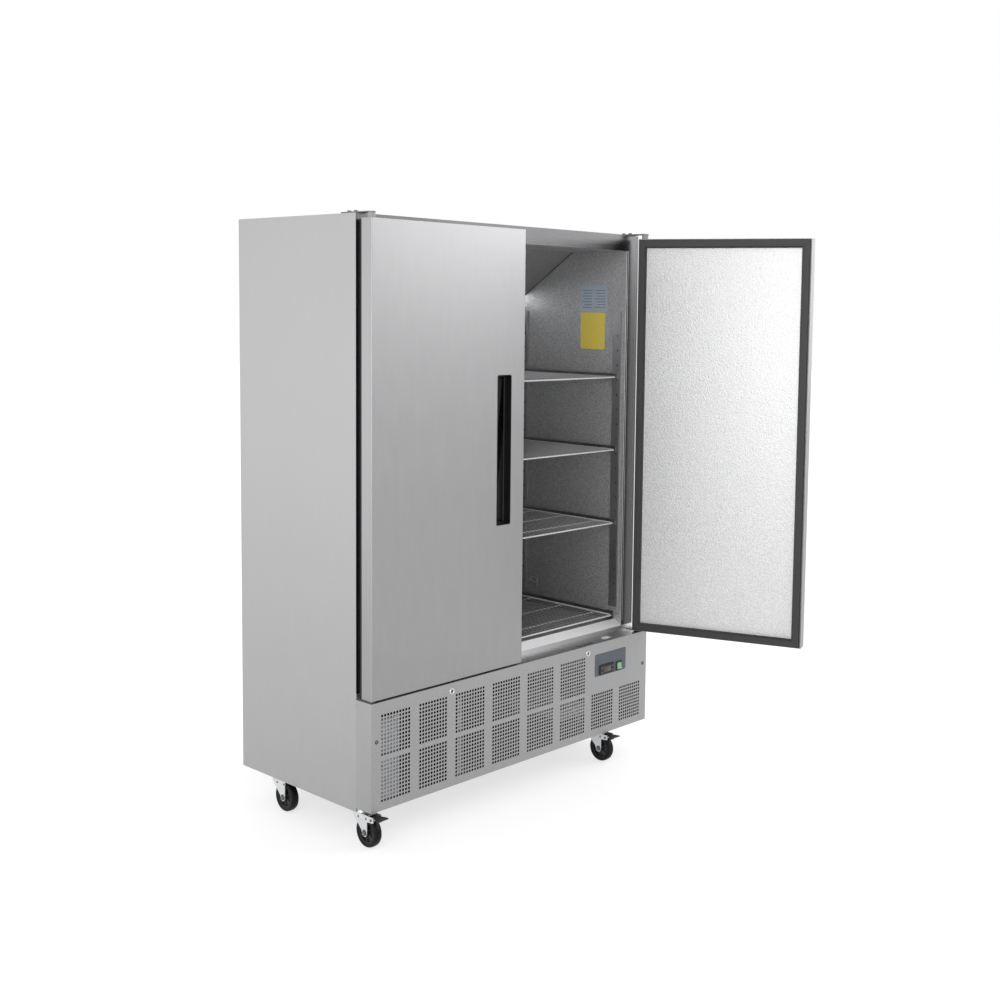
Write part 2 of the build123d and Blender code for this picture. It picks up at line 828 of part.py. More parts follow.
def shelf(side, level):
    """A welded frame with cross wires, and thin wires that lie on the cross wires."""
    middle = side * (shelf_low_x + shelf_high_x) / 2
    width = shelf_high_x - shelf_low_x
    depth = shelf_back - shelf_front
    with BuildPart() as frame:
        with BuildSketch(Plane.XY.offset(level - frame_wire / 2)):
            with Locations((middle, (shelf_front + shelf_back) / 2)):
                RectangleRounded(width, depth, 3 * frame_wire)
                RectangleRounded(
                    width - 2 * frame_wire, depth - 2 * frame_wire, 2 * frame_wire,
                    mode=Mode.SUBTRACT,
                )
        extrude(amount=frame_wire)
        for share in cross_wires:
            cross_y = shelf_front + share * depth
            with Locations((middle, cross_y, level + (cross_wire - frame_wire) / 2)):
                Box(width - frame_wire, cross_wire, cross_wire)
    wire_pitch = (width - 2 * frame_wire) / (thin_wires + 1)
    with BuildPart() as wires:
        top = level - frame_wire / 2 + cross_wire
        with BuildSketch(Plane.XZ.offset(-shelf_back + frame_wire)):
            for number in range(thin_wires):
                offset_x = (number - (thin_wires - 1) / 2) * wire_pitch
                with Locations((middle + offset_x, top + thin_wire / 2)):
                    Rectangle(thin_wire, thin_wire)
        extrude(amount=depth - 2 * frame_wire)
    return frame.part.solids() + wires.part.solids()


for side, word in ((-1, "left"), (1, "right")):
    wirework = [solid for level in shelf_levels for solid in shelf(side, level)]
    save(Compound(wirework), f"shelves_{word}")

# Evaporator under the ceiling, behind its sloped cover

slope_run = cover_rear_y - cover_front_y
slope_drop = ceiling_z - cover_bottom_z
slope_length = hypot(slope_run, slope_drop)
slope_angle = degrees(atan2(slope_drop, slope_run))
along = (slope_run / slope_length, -slope_drop / slope_length)
normal = (slope_drop / slope_length, slope_run / slope_length)
slope_middle = ((cover_front_y + cover_rear_y) / 2, (ceiling_z + cover_bottom_z) / 2)


def slope_plane(x, depth):
    """A plane parallel to the cover, depth above its underside, with its normal up and back."""
    return Plane(
        origin=(x, slope_middle[0] + normal[0] * depth, slope_middle[1] + normal[1] * depth),
        x_dir=(1, 0, 0),
        z_dir=(0, normal[0], normal[1]),
    )


with BuildPart() as evaporator_cover:
    with BuildSketch(Plane.YZ.offset(-inner_half)):
        with BuildLine():
            Polyline(
                (cover_front_y, ceiling_z),
                (cover_rear_y, cover_bottom_z),
                (inner_back, cover_bottom_z),
                (inner_back, cover_bottom_z + sheet),
                (cover_rear_y + sheet / 2, cover_bottom_z + sheet),
                (cover_front_y + 2 * sheet, ceiling_z),
                close=True,
            )
        make_face()
    extrude(amount=2 * inner_half)
    for side in (-1, 1):
        with BuildSketch(slope_plane(side * cold_fan_x, -5 * sheet)):
            Circle(cold_fan_radius)
        extrude(amount=10 * sheet, mode=Mode.SUBTRACT)
save(evaporator_cover.part, "evaporator_cover")

with BuildPart() as cold_fan_rings:
    for side in (-1, 1):
        with BuildSketch(slope_plane(side * cold_fan_x, 1.15 * sheet)):
            Circle(cold_fan_radius + 6 * sheet)
            Circle(cold_fan_radius - 2 * sheet, mode=Mode.SUBTRACT)
        extrude(amount=cold_fan_depth)
        with BuildSketch(slope_plane(side * cold_fan_x, cold_fan_depth)):
            Circle(cold_fan_radius / 4)
            with PolarLocations(cold_fan_radius / 2, 3):
                Rectangle(cold_fan_radius, 8.0)
            Circle(fan_shaft_radius + pin_fit, mode=Mode.SUBTRACT)
        extrude(amount=2.5 * sheet)
save(cold_fan_rings.part, "cold_fan_rings")


def fan_rotor(plane, radius, hub_radius, depth, blades, shaft_end):
    """A hub and flat blades set at a pitch, with a shaft that runs in the bracket's bore."""
    pitch = radians(blade_pitch)
    with BuildPart() as rotor:
        with BuildSketch(plane):
            Circle(hub_radius)
        extrude(amount=depth)
        with BuildSketch(plane):
            Circle(fan_shaft_radius)
        extrude(amount=shaft_end)
        for number in range(blades):
            turn = radians(number * 360 / blades)
            outward = plane.x_dir * cos(turn) + plane.y_dir * sin(turn)
            across = plane.y_dir * cos(turn) - plane.x_dir * sin(turn)
            blade_plane = Plane(
                origin=plane.origin + plane.z_dir * (depth / 2),
                x_dir=outward,
                z_dir=plane.z_dir * cos(pitch) + across * sin(pitch),
            )
            with BuildSketch(blade_plane):
                area(hub_radius - 2.0, radius, -depth * 0.85, depth * 0.85)
            extrude(amount=blade_thick)
    return rotor.part


for side, word in ((-1, "left"), (1, "right")):
    rotor_plane = slope_plane(side * cold_fan_x, 5.0)
    rotor_depth = cold_fan_depth - 8.0
    rotor = fan_rotor(rotor_plane, cold_fan_radius - 8.0, 26.0, rotor_depth, 5, cold_fan_depth - 3.0)
    save(rotor, f"cold_fan_{word}")

with BuildPart() as evaporator_coil:
    with BuildSketch(slope_plane(0, coil_clear)):
        with Locations((0, coil_shift)):
            Rectangle(coil_length, coil_height)
    extrude(amount=coil_thick)
    with BuildSketch(slope_plane(0, coil_clear)):
        with Locations((0, coil_shift)):
            with GridLocations(coil_length / coil_grooves, 1, coil_grooves - 1, 1):
                Rectangle(coil_length / coil_grooves - 4 * sheet, coil_height)
    extrude(amount=coil_thick / 6, mode=Mode.SUBTRACT)
    for side in (-1, 1):
        hanger_x = side * (coil_length / 2 - 4.0)
        slab((hanger_x - 2.0, hanger_x + 2.0), (450.0, 490.0), (ceiling_z - 40.0, ceiling_z))
save(evaporator_coil.part, "evaporator_coil")

with BuildPart() as interior_lamp:
    lamp_z = cover_bottom_z - 9 * sheet
    with BuildSketch(facing(inner_back)):
        with Locations((0, lamp_z - 12.0)):
            RectangleRounded(300.0, 34.0, 6.0)
    extrude(amount=22.0)
save(interior_lamp.part, "interior_lamp")

# Machine compartment

condenser_right = condenser_left + condenser_width
condenser_back = condenser_front + condenser_thick
condenser_x = (condenser_left + condenser_right) / 2
condenser_z = condenser_bottom + condenser_height / 2
with BuildPart() as condenser:
    slab(
        (condenser_left + 3.0, condenser_right - 3.0),
        (condenser_front, condenser_back),
        (condenser_bottom, condenser_bottom + condenser_height),
    )
    with Locations((condenser_x, condenser_front, condenser_z)):
        with GridLocations(12.0, 1, 28, 1):
            Box(7.0, 12.0, condenser_height - 12.0, mode=Mode.SUBTRACT)
save(condenser.part, "condenser")

fan_centre = (condenser_x, condenser_z)
shroud_y = condenser_back + 6.0
bracket_y = shroud_y + sheet + warm_fan_depth + 4.0
with BuildPart() as condenser_frame:
    for x, inward, lip in ((condenser_left, 1, 92.0), (condenser_right, -1, 18.0)):
        with BuildSketch(Plane.XY.offset(base_top)):
            area(x, x + 3.0 * inward, condenser_front - 6.0, shroud_y + sheet)
            area(x, x + lip * inward, condenser_front - 6.0, condenser_front - 5.0)
        extrude(amount=condenser_bottom + condenser_height - base_top)
    with BuildSketch(facing(shroud_y + sheet)):
        area(condenser_left, condenser_right, condenser_bottom, condenser_bottom + condenser_height)
        with Locations(fan_centre):
            Circle(warm_fan_radius + 5.0, mode=Mode.SUBTRACT)
    extrude(amount=sheet)
    with BuildSketch(facing(bracket_y)):
        with Locations(fan_centre):
            Circle(warm_fan_radius + 5.0 + 2 * sheet)
            Circle(warm_fan_radius + 5.0, mode=Mode.SUBTRACT)
            Rectangle(2 * warm_fan_radius + 14.0, 16.0)
            Circle(fan_shaft_radius + pin_fit, mode=Mode.SUBTRACT)
    extrude(amount=4.0)
    with BuildSketch(facing(bracket_y - 4.0)):
        with Locations(fan_centre):
            Circle(warm_fan_radius + 5.0 + 2 * sheet)
            Circle(warm_fan_radius + 5.0, mode=Mode.SUBTRACT)
    extrude(amount=warm_fan_depth)
    with BuildSketch(facing(bracket_y + 48.0)):
        with Locations(fan_centre):
            Circle(34.0)
            Circle(32.0, mode=Mode.SUBTRACT)
    extrude(amount=48.0)
    with BuildSketch(facing(bracket_y + 50.0)):
        with Locations(fan_centre):
            Circle(34.0)
    extrude(amount=2.0)
save(condenser_frame.part, "condenser_frame")

fan_plane = Plane(
    origin=(fan_centre[0], bracket_y - 5.0, fan_centre[1]), x_dir=(1, 0, 0), z_dir=(0, -1, 0)
)
rotor_depth = warm_fan_depth - 6.0
save(fan_rotor(fan_plane, warm_fan_radius - 2.0, 28.0, rotor_depth, 5, -5.0), "condenser_fan")

compressor_floor = base_top + 22.0
with BuildPart() as compressor:
    with BuildSketch(Plane.XY.offset(compressor_floor)):
        with Locations((compressor_x, compressor_y)):
            Circle(compressor_radius)
    extrude(amount=compressor_height)
    caps = compressor.edges().filter_by(GeomType.CIRCLE).sort_by(Axis.Z)
    fillet(caps[-1], radius=0.6 * compressor_radius)
    fillet(caps[0], radius=0.25 * compressor_radius)
    with BuildSketch(Plane.XY.offset(compressor_floor + 0.2 * compressor_height)):
        with Locations((compressor_x, compressor_y)):
            Circle(0.8 * compressor_radius)
    extrude(amount=0.5 * compressor_height, mode=Mode.SUBTRACT)
    for level, thick in ((compressor_floor - 4.0, 4.0), (compressor_floor + 105.0, 10.0)):
        with BuildSketch(Plane.XY.offset(level)):
            with Locations((compressor_x, compressor_y)):
                Circle(compressor_radius + 4.0)
                if thick > 4.0:
                    Circle(compressor_radius - 1.5, mode=Mode.SUBTRACT)
                else:
                    Rectangle(2.3 * compressor_radius, 1.5 * compressor_radius)
        extrude(amount=thick)
    with BuildSketch(Plane.XY.offset(base_top)):
        with Locations((compressor_x, compressor_y)):
            with GridLocations(2.05 * compressor_radius, 1.25 * compressor_radius, 2, 2):
                Circle(8.0)
    extrude(amount=compressor_floor - 4.0 - base_top)
save(compressor.part, "compressor")

with BuildPart() as evaporating_tray:
    tray_x_limits = (tray_x, tray_x + tray_width)
    tray_y_limits = (tray_front, tray_front + tray_depth)
    slab(tray_x_limits, tray_y_limits, (tray_bottom, tray_bottom + tray_height))
    slab(
        (tray_x + 2.0, tray_x + tray_width - 2.0),
        (tray_front + 2.0, tray_front + tray_depth - 2.0),
        (tray_bottom + 2.0, tray_bottom + tray_height),
        Mode.SUBTRACT,
    )
    with Locations((tray_x + tray_width / 2, tray_front + tray_depth / 2, tray_bottom)):
        with GridLocations(tray_width - 30.0, tray_depth - 60.0, 2, 2):
            Cylinder(6.0, tray_bottom - base_top, align=(Align.CENTER, Align.CENTER, Align.MAX))
save(evaporating_tray.part, "evaporating_tray")

pipe_level = compressor_floor + compressor_height + 30.0
drier_x = compressor_x + compressor_radius + 40.0
with BuildPart() as refrigerant_pipes:
    with BuildLine() as discharge_route:
        FilletPolyline(
            (compressor_x - 10.0, compressor_y, compressor_floor + compressor_height),
            (compressor_x - 10.0, compressor_y, pipe_level),
            (compressor_x - 10.0, 40.0, pipe_level),
            (condenser_right + 30.0, 40.0, pipe_level),
            (condenser_right + 30.0, condenser_back - 20.0, pipe_level),
            (condenser_right, condenser_back - 20.0, pipe_level),
            radius=14.0,
        )
    with BuildSketch(Plane(origin=discharge_route.line @ 0, z_dir=discharge_route.line % 0)):
        Circle(5.0)
    sweep()
    with BuildSketch(Plane.YZ.offset(drier_x)):
        with Locations((compressor_y, base_top + 16.0)):
            Circle(16.0)
    extrude(amount=90.0)
    with BuildSketch(Plane.YZ.offset(drier_x + 90.0)):
        with Locations((compressor_y, base_top + 16.0)):
            Circle(3.2)
    extrude(amount=70.0)
save(refrigerant_pipes.part, "refrigerant_pipes")

# Small white wedge on the sill that meets the door's lower edge

with BuildPart() as door_wedge:
    with BuildSketch(facing(-32.0)):
        with BuildLine():
            Polyline(
                (452.0, panel_top),
                (494.0, panel_top),
                (494.0, panel_top + 1.2),
                (482.0, panel_top + 4.0),
                (466.0, panel_top + 4.0),
                (452.0, panel_top + 1.2),
                close=True,
            )
        make_face()
    extrude(amount=18.0)
save(door_wedge.part, "door_wedge")

# Casters

with BuildPart() as caster_heads:
    for x in (caster_left_x, caster_right_x):
        for y in (caster_front_y, caster_rear_y):
            with BuildSketch(Plane.XY.offset(base_bottom - head_thick)):
                with Locations((x, y)):
                    Circle(head_radius)
            extrude(amount=head_thick)
            with BuildSketch(Plane.XY.offset(base_bottom - head_thick)):
                with Locations((x, y)):
                    Circle(kingpin_radius)
            extrude(amount=crown_bottom - turning_gap - base_bottom + head_thick)
            with BuildSketch(Plane.XY.offset(crown_bottom - turning_gap)):
                with Locations((x, y)):
                    Circle(1.6 * kingpin_radius)
            extrude(amount=-3 * sheet)
save(caster_heads.part, "caster_heads")

wheel_z = wheel_radius
leg_half = fork_gap / 2


def fork(x, y, braked):
    """The fork with its axle bolt: crown, ball race, two legs, and cheeks where it has a brake."""
    axle_y = y - caster_trail
    with BuildPart() as body:
        with BuildSketch(Plane.YZ.offset(x - leg_half - fork_sheet)):
            with BuildLine():
                Polyline(
                    (axle_y + leg_end_radius, wheel_z),
                    (y + race_radius, crown_bottom - 8.0),
                    (y + race_radius, crown_top),
                    (axle_y - leg_end_radius, crown_top),
                    (axle_y - leg_end_radius, wheel_z),
                )
                ThreePointArc(
                    (axle_y - leg_end_radius, wheel_z),
                    (axle_y, wheel_z - leg_end_radius),
                    (axle_y + leg_end_radius, wheel_z),
                )
            make_face()
            if braked:
                area(y - brake_reach, axle_y, brake_pivot_z - 8.0, crown_top)
        extrude(amount=fork_sheet)
        with BuildSketch(Plane.YZ.offset(x - leg_half - fork_sheet - 4.0)):
            with Locations((axle_y, wheel_z)):
                RegularPolygon(8.0, 6, major_radius=False)
        extrude(amount=4.0)
        mirror(about=Plane.YZ.offset(x))
        with BuildSketch(Plane.YZ.offset(x - leg_half)):
            with Locations((axle_y, wheel_z)):
                Circle(axle_radius)
        extrude(amount=2 * leg_half)
        crown_front = axle_y - leg_end_radius
        slab(
            (x - leg_half, x + leg_half),
            (crown_front, y + race_radius),
            (crown_bottom, crown_top),
        )
        with BuildSketch(Plane.XY.offset(crown_top)):
            with Locations((x, y)):
                Circle(race_radius)
        extrude(amount=base_bottom - head_thick - turning_gap - crown_top)
        with BuildSketch(Plane.XY.offset(crown_bottom)):
            with Locations((x, y)):
                Circle(kingpin_radius + pin_fit)
        extrude(amount=base_bottom - crown_bottom, mode=Mode.SUBTRACT)
    return body.part


def wheel(x, y):
    """A rubber tyre with a crowned tread on its rim, thin web and bored boss."""
    axle_y = y - caster_trail
    half = tyre_width / 2
    bore = axle_radius + 0.1
    boss = 12.0
    with BuildPart() as body:
        with BuildSketch(Plane.XZ.offset(-axle_y)):
            area(x - hub_length / 2, x + hub_length / 2, wheel_z + bore, wheel_z + boss)
            area(x - 4.0, x + 4.0, wheel_z + boss, wheel_z + rim_radius)
            area(x - half, x + half, wheel_z + rim_radius - 5.0, wheel_z + rim_radius)
            with BuildLine():
                Polyline(
                    (x - half, wheel_z + wheel_radius - 4.0),
                    (x - half, wheel_z + rim_radius),
                    (x + half, wheel_z + rim_radius),
                    (x + half, wheel_z + wheel_radius - 4.0),
                )
                ThreePointArc(
                    (x - half, wheel_z + wheel_radius - 4.0),
                    (x, wheel_z + wheel_radius),
                    (x + half, wheel_z + wheel_radius - 4.0),
                )
            make_face()
        revolve(axis=Axis((0, axle_y, wheel_z), (1, 0, 0)))
    return body.part


def pedal(x, y):
    """The brake pedal: a barrel between the cheeks, a broad tread plate and a lower lug."""
    pivot_y = y - brake_pivot_back
    tip_y = y - pedal_tip
    plate_z = crown_bottom
    with BuildPart() as body:
        with BuildSketch(Plane.YZ.offset(x - leg_half + turning_gap)):
            with Locations((pivot_y, brake_pivot_z)):
                Circle(brake_barrel)
            area(y - brake_reach - 2.0, pivot_y, brake_pivot_z - 2.0, plate_z)
            area(y - brake_reach - 16.0, pivot_y, brake_pivot_z - 5.0, brake_pivot_z)
        extrude(amount=fork_gap - 2 * turning_gap)
        with BuildSketch(Plane.XY.offset(plate_z)):
            with BuildLine():
                Polyline(
                    (x - leg_half + turning_gap, pivot_y),
                    (x - leg_half + turning_gap, y - brake_reach - turning_gap),
                    (x - pedal_half_width, y - brake_reach - 8.0),
                    (x - pedal_half_width + 4.0, tip_y),
                    (x + pedal_half_width - 4.0, tip_y),
                    (x + pedal_half_width, y - brake_reach - 8.0),
                    (x + leg_half - turning_gap, y - brake_reach - turning_gap),
                    (x + leg_half - turning_gap, pivot_y),
                    close=True,
                )
            make_face()
        extrude(amount=3.0)
    return body.part


for x, across in ((caster_left_x, "left"), (caster_right_x, "right")):
    for y, along_word in ((caster_front_y, "front"), (caster_rear_y, "rear")):
        place = f"{along_word}_{across}"
        braked = along_word == "front"
        save(fork(x, y, braked), f"fork_{place}")
        save(wheel(x, y), f"wheel_{place}")
        if braked:
            save(pedal(x, y), f"pedal_{place}")
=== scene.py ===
import json
from math import cos, pi, radians, sin

import bmesh
import bpy
from mathutils import Matrix, Vector


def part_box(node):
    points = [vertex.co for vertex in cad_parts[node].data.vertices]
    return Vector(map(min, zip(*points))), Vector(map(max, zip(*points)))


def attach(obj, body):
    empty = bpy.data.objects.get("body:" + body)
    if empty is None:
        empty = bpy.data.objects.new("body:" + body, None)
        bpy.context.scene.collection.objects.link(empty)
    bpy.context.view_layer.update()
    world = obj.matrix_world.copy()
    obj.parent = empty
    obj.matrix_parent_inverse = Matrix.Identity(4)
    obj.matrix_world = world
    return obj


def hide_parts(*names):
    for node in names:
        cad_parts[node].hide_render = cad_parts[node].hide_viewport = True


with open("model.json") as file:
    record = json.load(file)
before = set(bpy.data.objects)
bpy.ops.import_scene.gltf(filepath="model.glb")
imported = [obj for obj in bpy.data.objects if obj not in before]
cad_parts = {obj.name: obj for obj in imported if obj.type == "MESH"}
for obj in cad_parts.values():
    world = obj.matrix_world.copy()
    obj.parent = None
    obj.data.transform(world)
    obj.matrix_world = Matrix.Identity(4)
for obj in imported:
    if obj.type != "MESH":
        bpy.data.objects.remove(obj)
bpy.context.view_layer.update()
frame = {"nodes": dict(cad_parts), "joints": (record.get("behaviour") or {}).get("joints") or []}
nodes = frame["nodes"]

# Lengths are millimetres about the cabinet's own middle until a piece is finished:
# x = 0 is the middle of the cabinet, y = 0 the face of its front frame, z = 0 the floor.
casing_low, casing_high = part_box("side_panels")
CABINET_PLACE = Vector(((casing_low[0] + casing_high[0]) / 2, casing_low[1], 0.0))
CABINET_HALF = 670.0
SAME_POINT = 0.01

PANEL_FACE = -75.0
PANEL_BOTTOM = 123.0
PANEL_TOP = 472.0
PANEL_SHEET = 0.6
HOLE = 9.0
PITCH_X = 12.2
PITCH_Z = 12.4
PATCH_WEB = 37.9
PATCH_COLUMNS = (11, 11, 10, 10)
PATCH_ROWS = 11
PATCH_TOP = 427.5
LARGEST_CELL = 200.0
LOCK_X = 335.0
LOCK_Z = 444.5
SLOT_HALF = 45.0
SLOT_FRONT = -58.0
SLOT_BACK = -49.5

DOOR_BOTTOM = 477.5
DOOR_TOP = 1969.0
DOOR_NEAR = 5.2
DOOR_FAR = 663.8
DOOR_FACE = -69.0
DOOR_BACK = -20.0
PIVOT_X = 650.0
PIVOT_Y = -50.0
GRIP_X = 100.2
GRIP_BOTTOM = 970.0
GRIP_TOP = 1480.0
GRIP_WIDTH = 66.0
GRIP_LIFT = 0.2
OPENING_BOTTOM = 509.0
OPENING_TOP = 1924.0

CASTERS = {
    "front_left": (-646.0, 2.0),
    "front_right": (466.0, 2.0),
    "rear_left": (-646.0, 438.0),
    "rear_right": (466.0, 438.0),
}
WHEEL_RADIUS = 50.0
TRAIL = 36.0
FORK_INSIDE = 16.0
FORK_SHEET = 3.0
TREAD_LEVEL = 104.4

SHELF_LEVELS = (527.0, 887.0, 1170.0, 1448.0)
SHELF_ACROSS = (53.0, 597.0)
SHELF_FRONT = 32.0
SHELF_BACK = 552.0
CROSS_WIRES = (0.17, 0.5, 0.83)
THIN_WIRES = 24
FRAME_WIRE = 3.0
CROSS_WIRE = 2.5
THIN_WIRE = 1.6
FRAME_BEND = 14.0

right_hinge = next(j for j in frame["joints"] if j["name"] == "door_right_hinge")
OPEN_ANGLE = radians(-right_hinge["range_deg"][0])


# Node groups shared by several finishes

# How far the scratches of brushing are drawn out along a member
UPRIGHT = (1.0, 1.0, 0.012)
LEVEL = (0.012, 1.0, 1.0)


def new_group(name, inputs):
    """A shader node group with its number inputs; returns the group and its input node."""
    group = bpy.data.node_groups.new(name, "ShaderNodeTree")
    for label, value in inputs.items():
        socket = group.interface.new_socket(label, in_out="INPUT", socket_type="NodeSocketFloat")
        socket.default_value = value
    return group, group.nodes.new("NodeGroupInput")


def put_out(group, **values):
    """Give a node group its outputs, each from a socket inside it."""
    for label in values:
        group.interface.new_socket(label, in_out="OUTPUT", socket_type="NodeSocketFloat")
    end = group.nodes.new("NodeGroupOutput")
    for label, value in values.items():
        group.links.new(value, end.inputs[label])
    return group


def feed(tree, value, socket):
    """Link a socket to another, or set it to a plain value."""
    if isinstance(value, bpy.types.NodeSocket):
        tree.links.new(value, socket)
    else:
        socket.default_value = value


def math_node(tree, operation, first, second):
    """A Math node whose inputs are sockets or numbers."""
    node = tree.nodes.new("ShaderNodeMath")
    node.operation = operation
    feed(tree, first, node.inputs[0])
    feed(tree, second, node.inputs[1])
    return node.outputs[0]


def mix_colour(tree, factor, first, second):
    """A colour Mix node; each input is a socket or a value."""
    node = tree.nodes.new("ShaderNodeMix")
    node.data_type = "RGBA"
    for index, value in ((0, factor), (6, first), (7, second)):
        feed(tree, value, node.inputs[index])
    return node.outputs[2]


def object_coordinates(tree):
    """The coordinates of the piece itself."""
    return tree.nodes.new("ShaderNodeTexCoord").outputs["Object"]


def noise_along(tree, scale, stretch=(1.0, 1.0, 1.0), detail=3.0):
    """Noise over the piece, scaled differently along each axis."""
    mapping = tree.nodes.new("ShaderNodeMapping")
    mapping.inputs["Scale"].default_value = stretch
    tree.links.new(object_coordinates(tree), mapping.inputs["Vector"])
    noise = tree.nodes.new("ShaderNodeTexNoise")
    noise.inputs["Detail"].default_value = detail
    feed(tree, scale, noise.inputs["Scale"])
    tree.links.new(mapping.outputs["Vector"], noise.inputs["Vector"])
    return noise.outputs["Fac"]


def cell_pattern(tree, scale, feature="F1"):
    """A Voronoi pattern over the piece."""
    cells = tree.nodes.new("ShaderNodeTexVoronoi")
    cells.feature = feature
    tree.links.new(object_coordinates(tree), cells.inputs["Vector"])
    tree.links.new(scale, cells.inputs["Scale"])
    return cells


def blend(tree, first, second, share):
    """The first mask at its share, and the second at the rest."""
    return math_node(
        tree, "ADD", math_node(tree, "MULTIPLY", first, share),
        math_node(tree, "MULTIPLY", second, 1.0 - share),
    )


def make_brushed_grain():
    """Fine upright scratches of brushed sheet: a height, a tone and a broad haze."""
    group, start = new_group("Brushed Grain", {"Fineness": 900.0, "Haze": 0.5})
    scratches = noise_along(group, start.outputs["Fineness"], UPRIGHT, 4.0)
    broad = noise_along(group, 38.0, (1.0, 1.0, 0.2), 2.0)
    cloudy = noise_along(group, 2.2, (1.0, 1.0, 0.6))
    haze = math_node(group, "MULTIPLY", cloudy, start.outputs["Haze"])
    return put_out(group, Height=scratches, Tone=blend(group, scratches, broad, 0.6), Haze=haze)


def make_moulded_grain():
    """The pebbled skin of moulded plastic or rubber, with faint uneven colour."""
    group, start = new_group("Moulded Grain", {"Pebble Scale": 1400.0, "Blotch Scale": 30.0})
    pebble = cell_pattern(group, start.outputs["Pebble Scale"], "SMOOTH_F1")
    blotch = noise_along(group, start.outputs["Blotch Scale"])
    return put_out(group, Height=pebble.outputs["Distance"], Blotch=blotch)


def make_zinc_spangle():
    """The crystal patches of a zinc coat."""
    group, start = new_group("Zinc Spangle", {"Crystal Scale": 90.0})
    crystals = cell_pattern(group, start.outputs["Crystal Scale"])
    split = group.nodes.new("ShaderNodeSeparateColor")
    group.links.new(crystals.outputs["Color"], split.inputs["Color"])
    speckle = noise_along(group, 260.0)
    return put_out(group, Tone=blend(group, split.outputs["Red"], speckle, 0.7), Height=speckle)


def make_stucco_dimples():
    """The rounded pebble pattern rolled into the doors' inner sheets and the lining."""
    group, start = new_group("Stucco Dimples", {"Dimple Scale": 300.0})
    dimples = cell_pattern(group, start.outputs["Dimple Scale"], "SMOOTH_F1")
    dimples.inputs["Smoothness"].default_value = 0.6
    swirl = noise_along(group, start.outputs["Dimple Scale"], detail=2.0)
    height = math_node(group, "ADD", dimples.outputs["Distance"], swirl)
    contrast = group.nodes.new("ShaderNodeMapRange")
    contrast.inputs["From Min"].default_value = 0.36
    contrast.inputs["From Max"].default_value = 0.64
    group.links.new(swirl, contrast.inputs["Value"])
    return put_out(group, Height=height, Shine=contrast.outputs["Result"])


def make_edge_wear():
    """A mask that is high on sharp outer edges, where a coat rubs bright."""
    group, start = new_group("Edge Wear", {"Reach": 0.55, "Contrast": 9.0})
    pointed = group.nodes.new("ShaderNodeNewGeometry").outputs["Pointiness"]
    above = math_node(group, "SUBTRACT", pointed, start.outputs["Reach"])
    raised = math_node(group, "MULTIPLY", above, start.outputs["Contrast"])
    clamp = group.nodes.new("ShaderNodeClamp")
    broken = math_node(group, "MULTIPLY", raised, noise_along(group, 120.0))
    group.links.new(broken, clamp.inputs["Value"])
    return put_out(group, Mask=clamp.outputs["Result"])


def height_of(tree, vector):
    """The upright part of a vector."""
    split = tree.nodes.new("ShaderNodeSeparateXYZ")
    tree.links.new(vector, split.inputs["Vector"])
    return split.outputs["Z"]


def make_frame_grain():
    """Brushing that follows each member of the frame: level in head and sill, else upright.

    Two masks mark where a painted highlight goes: the sill, by its ledge, and the sill's slopes, by
    how far they face up.
    """
    group, start = new_group(
        "Frame Grain",
        {
            "Fineness": 700.0, "Sill Level": 0.512, "Head Level": 1.925,
            "Ledge Level": 0.4905, "Upward": 0.4,
        },
    )
    fineness = start.outputs["Fineness"]
    upright = noise_along(group, fineness, UPRIGHT, 4.0)
    level = noise_along(group, fineness, LEVEL, 4.0)
    z = height_of(group, object_coordinates(group))
    low = math_node(group, "LESS_THAN", z, start.outputs["Sill Level"])
    high = math_node(group, "GREATER_THAN", z, start.outputs["Head Level"])
    across = math_node(group, "MAXIMUM", low, high)
    difference = math_node(group, "SUBTRACT", level, upright)
    height = math_node(
        group, "ADD", upright, math_node(group, "MULTIPLY", difference, across)
    )
    facing = height_of(group, group.nodes.new("ShaderNodeNewGeometry").outputs["Normal"])
    # Painted highlight mask: sill faces that face upward, as if catching light from above.
    upward = math_node(group, "GREATER_THAN", facing, start.outputs["Upward"])
    slope = math_node(group, "MULTIPLY", low, upward)
    ledge = math_node(group, "LESS_THAN", z, start.outputs["Ledge Level"])
    return put_out(
        group, Height=height, Tone=height, Haze=noise_along(group, 5.0, detail=2.0),
        Sill=math_node(group, "MAXIMUM", ledge, slope), Slope=slope,
    )


brushed_grain = make_brushed_grain()
frame_grain = make_frame_grain()
moulded_grain = make_moulded_grain()
zinc_spangle = make_zinc_spangle()
stucco_dimples = make_stucco_dimples()
edge_wear = make_edge_wear()


# Finishes


def new_finish(name, roughness, metallic=0.0, shine=0.5):
    """A material with a Principled BSDF; returns the material, its tree and the shader."""
    material = bpy.data.materials.new(name)
    material.use_nodes = True
    tree = material.node_tree
    shader = tree.nodes["Principled BSDF"]
    shader.inputs["Roughness"].default_value = roughness
    shader.inputs["Metallic"].default_value = metallic
    shader.inputs["Specular IOR Level"].default_value = shine
    return material, tree, shader


def place_group(tree, group, **values):
    """Put a node group in a material and set its inputs; underscores stand for spaces."""
    node = tree.nodes.new("ShaderNodeGroup")
    node.node_tree = group
    for label, value in values.items():
        node.inputs[label.replace("_", " ")].default_value = value
    return node.outputs


def spread(tree, value, low, high):
    """Map a mask from 0..1 to low..high."""
    node = tree.nodes.new("ShaderNodeMapRange")
    node.inputs["To Min"].default_value = low
    node.inputs["To Max"].default_value = high
    tree.links.new(value, node.inputs["Value"])
    return node.outputs["Result"]


def shade(tree, mask, dark, light):
    """The colour between dark and light that a mask picks."""
    return mix_colour(tree, mask, (*dark, 1), (*light, 1))


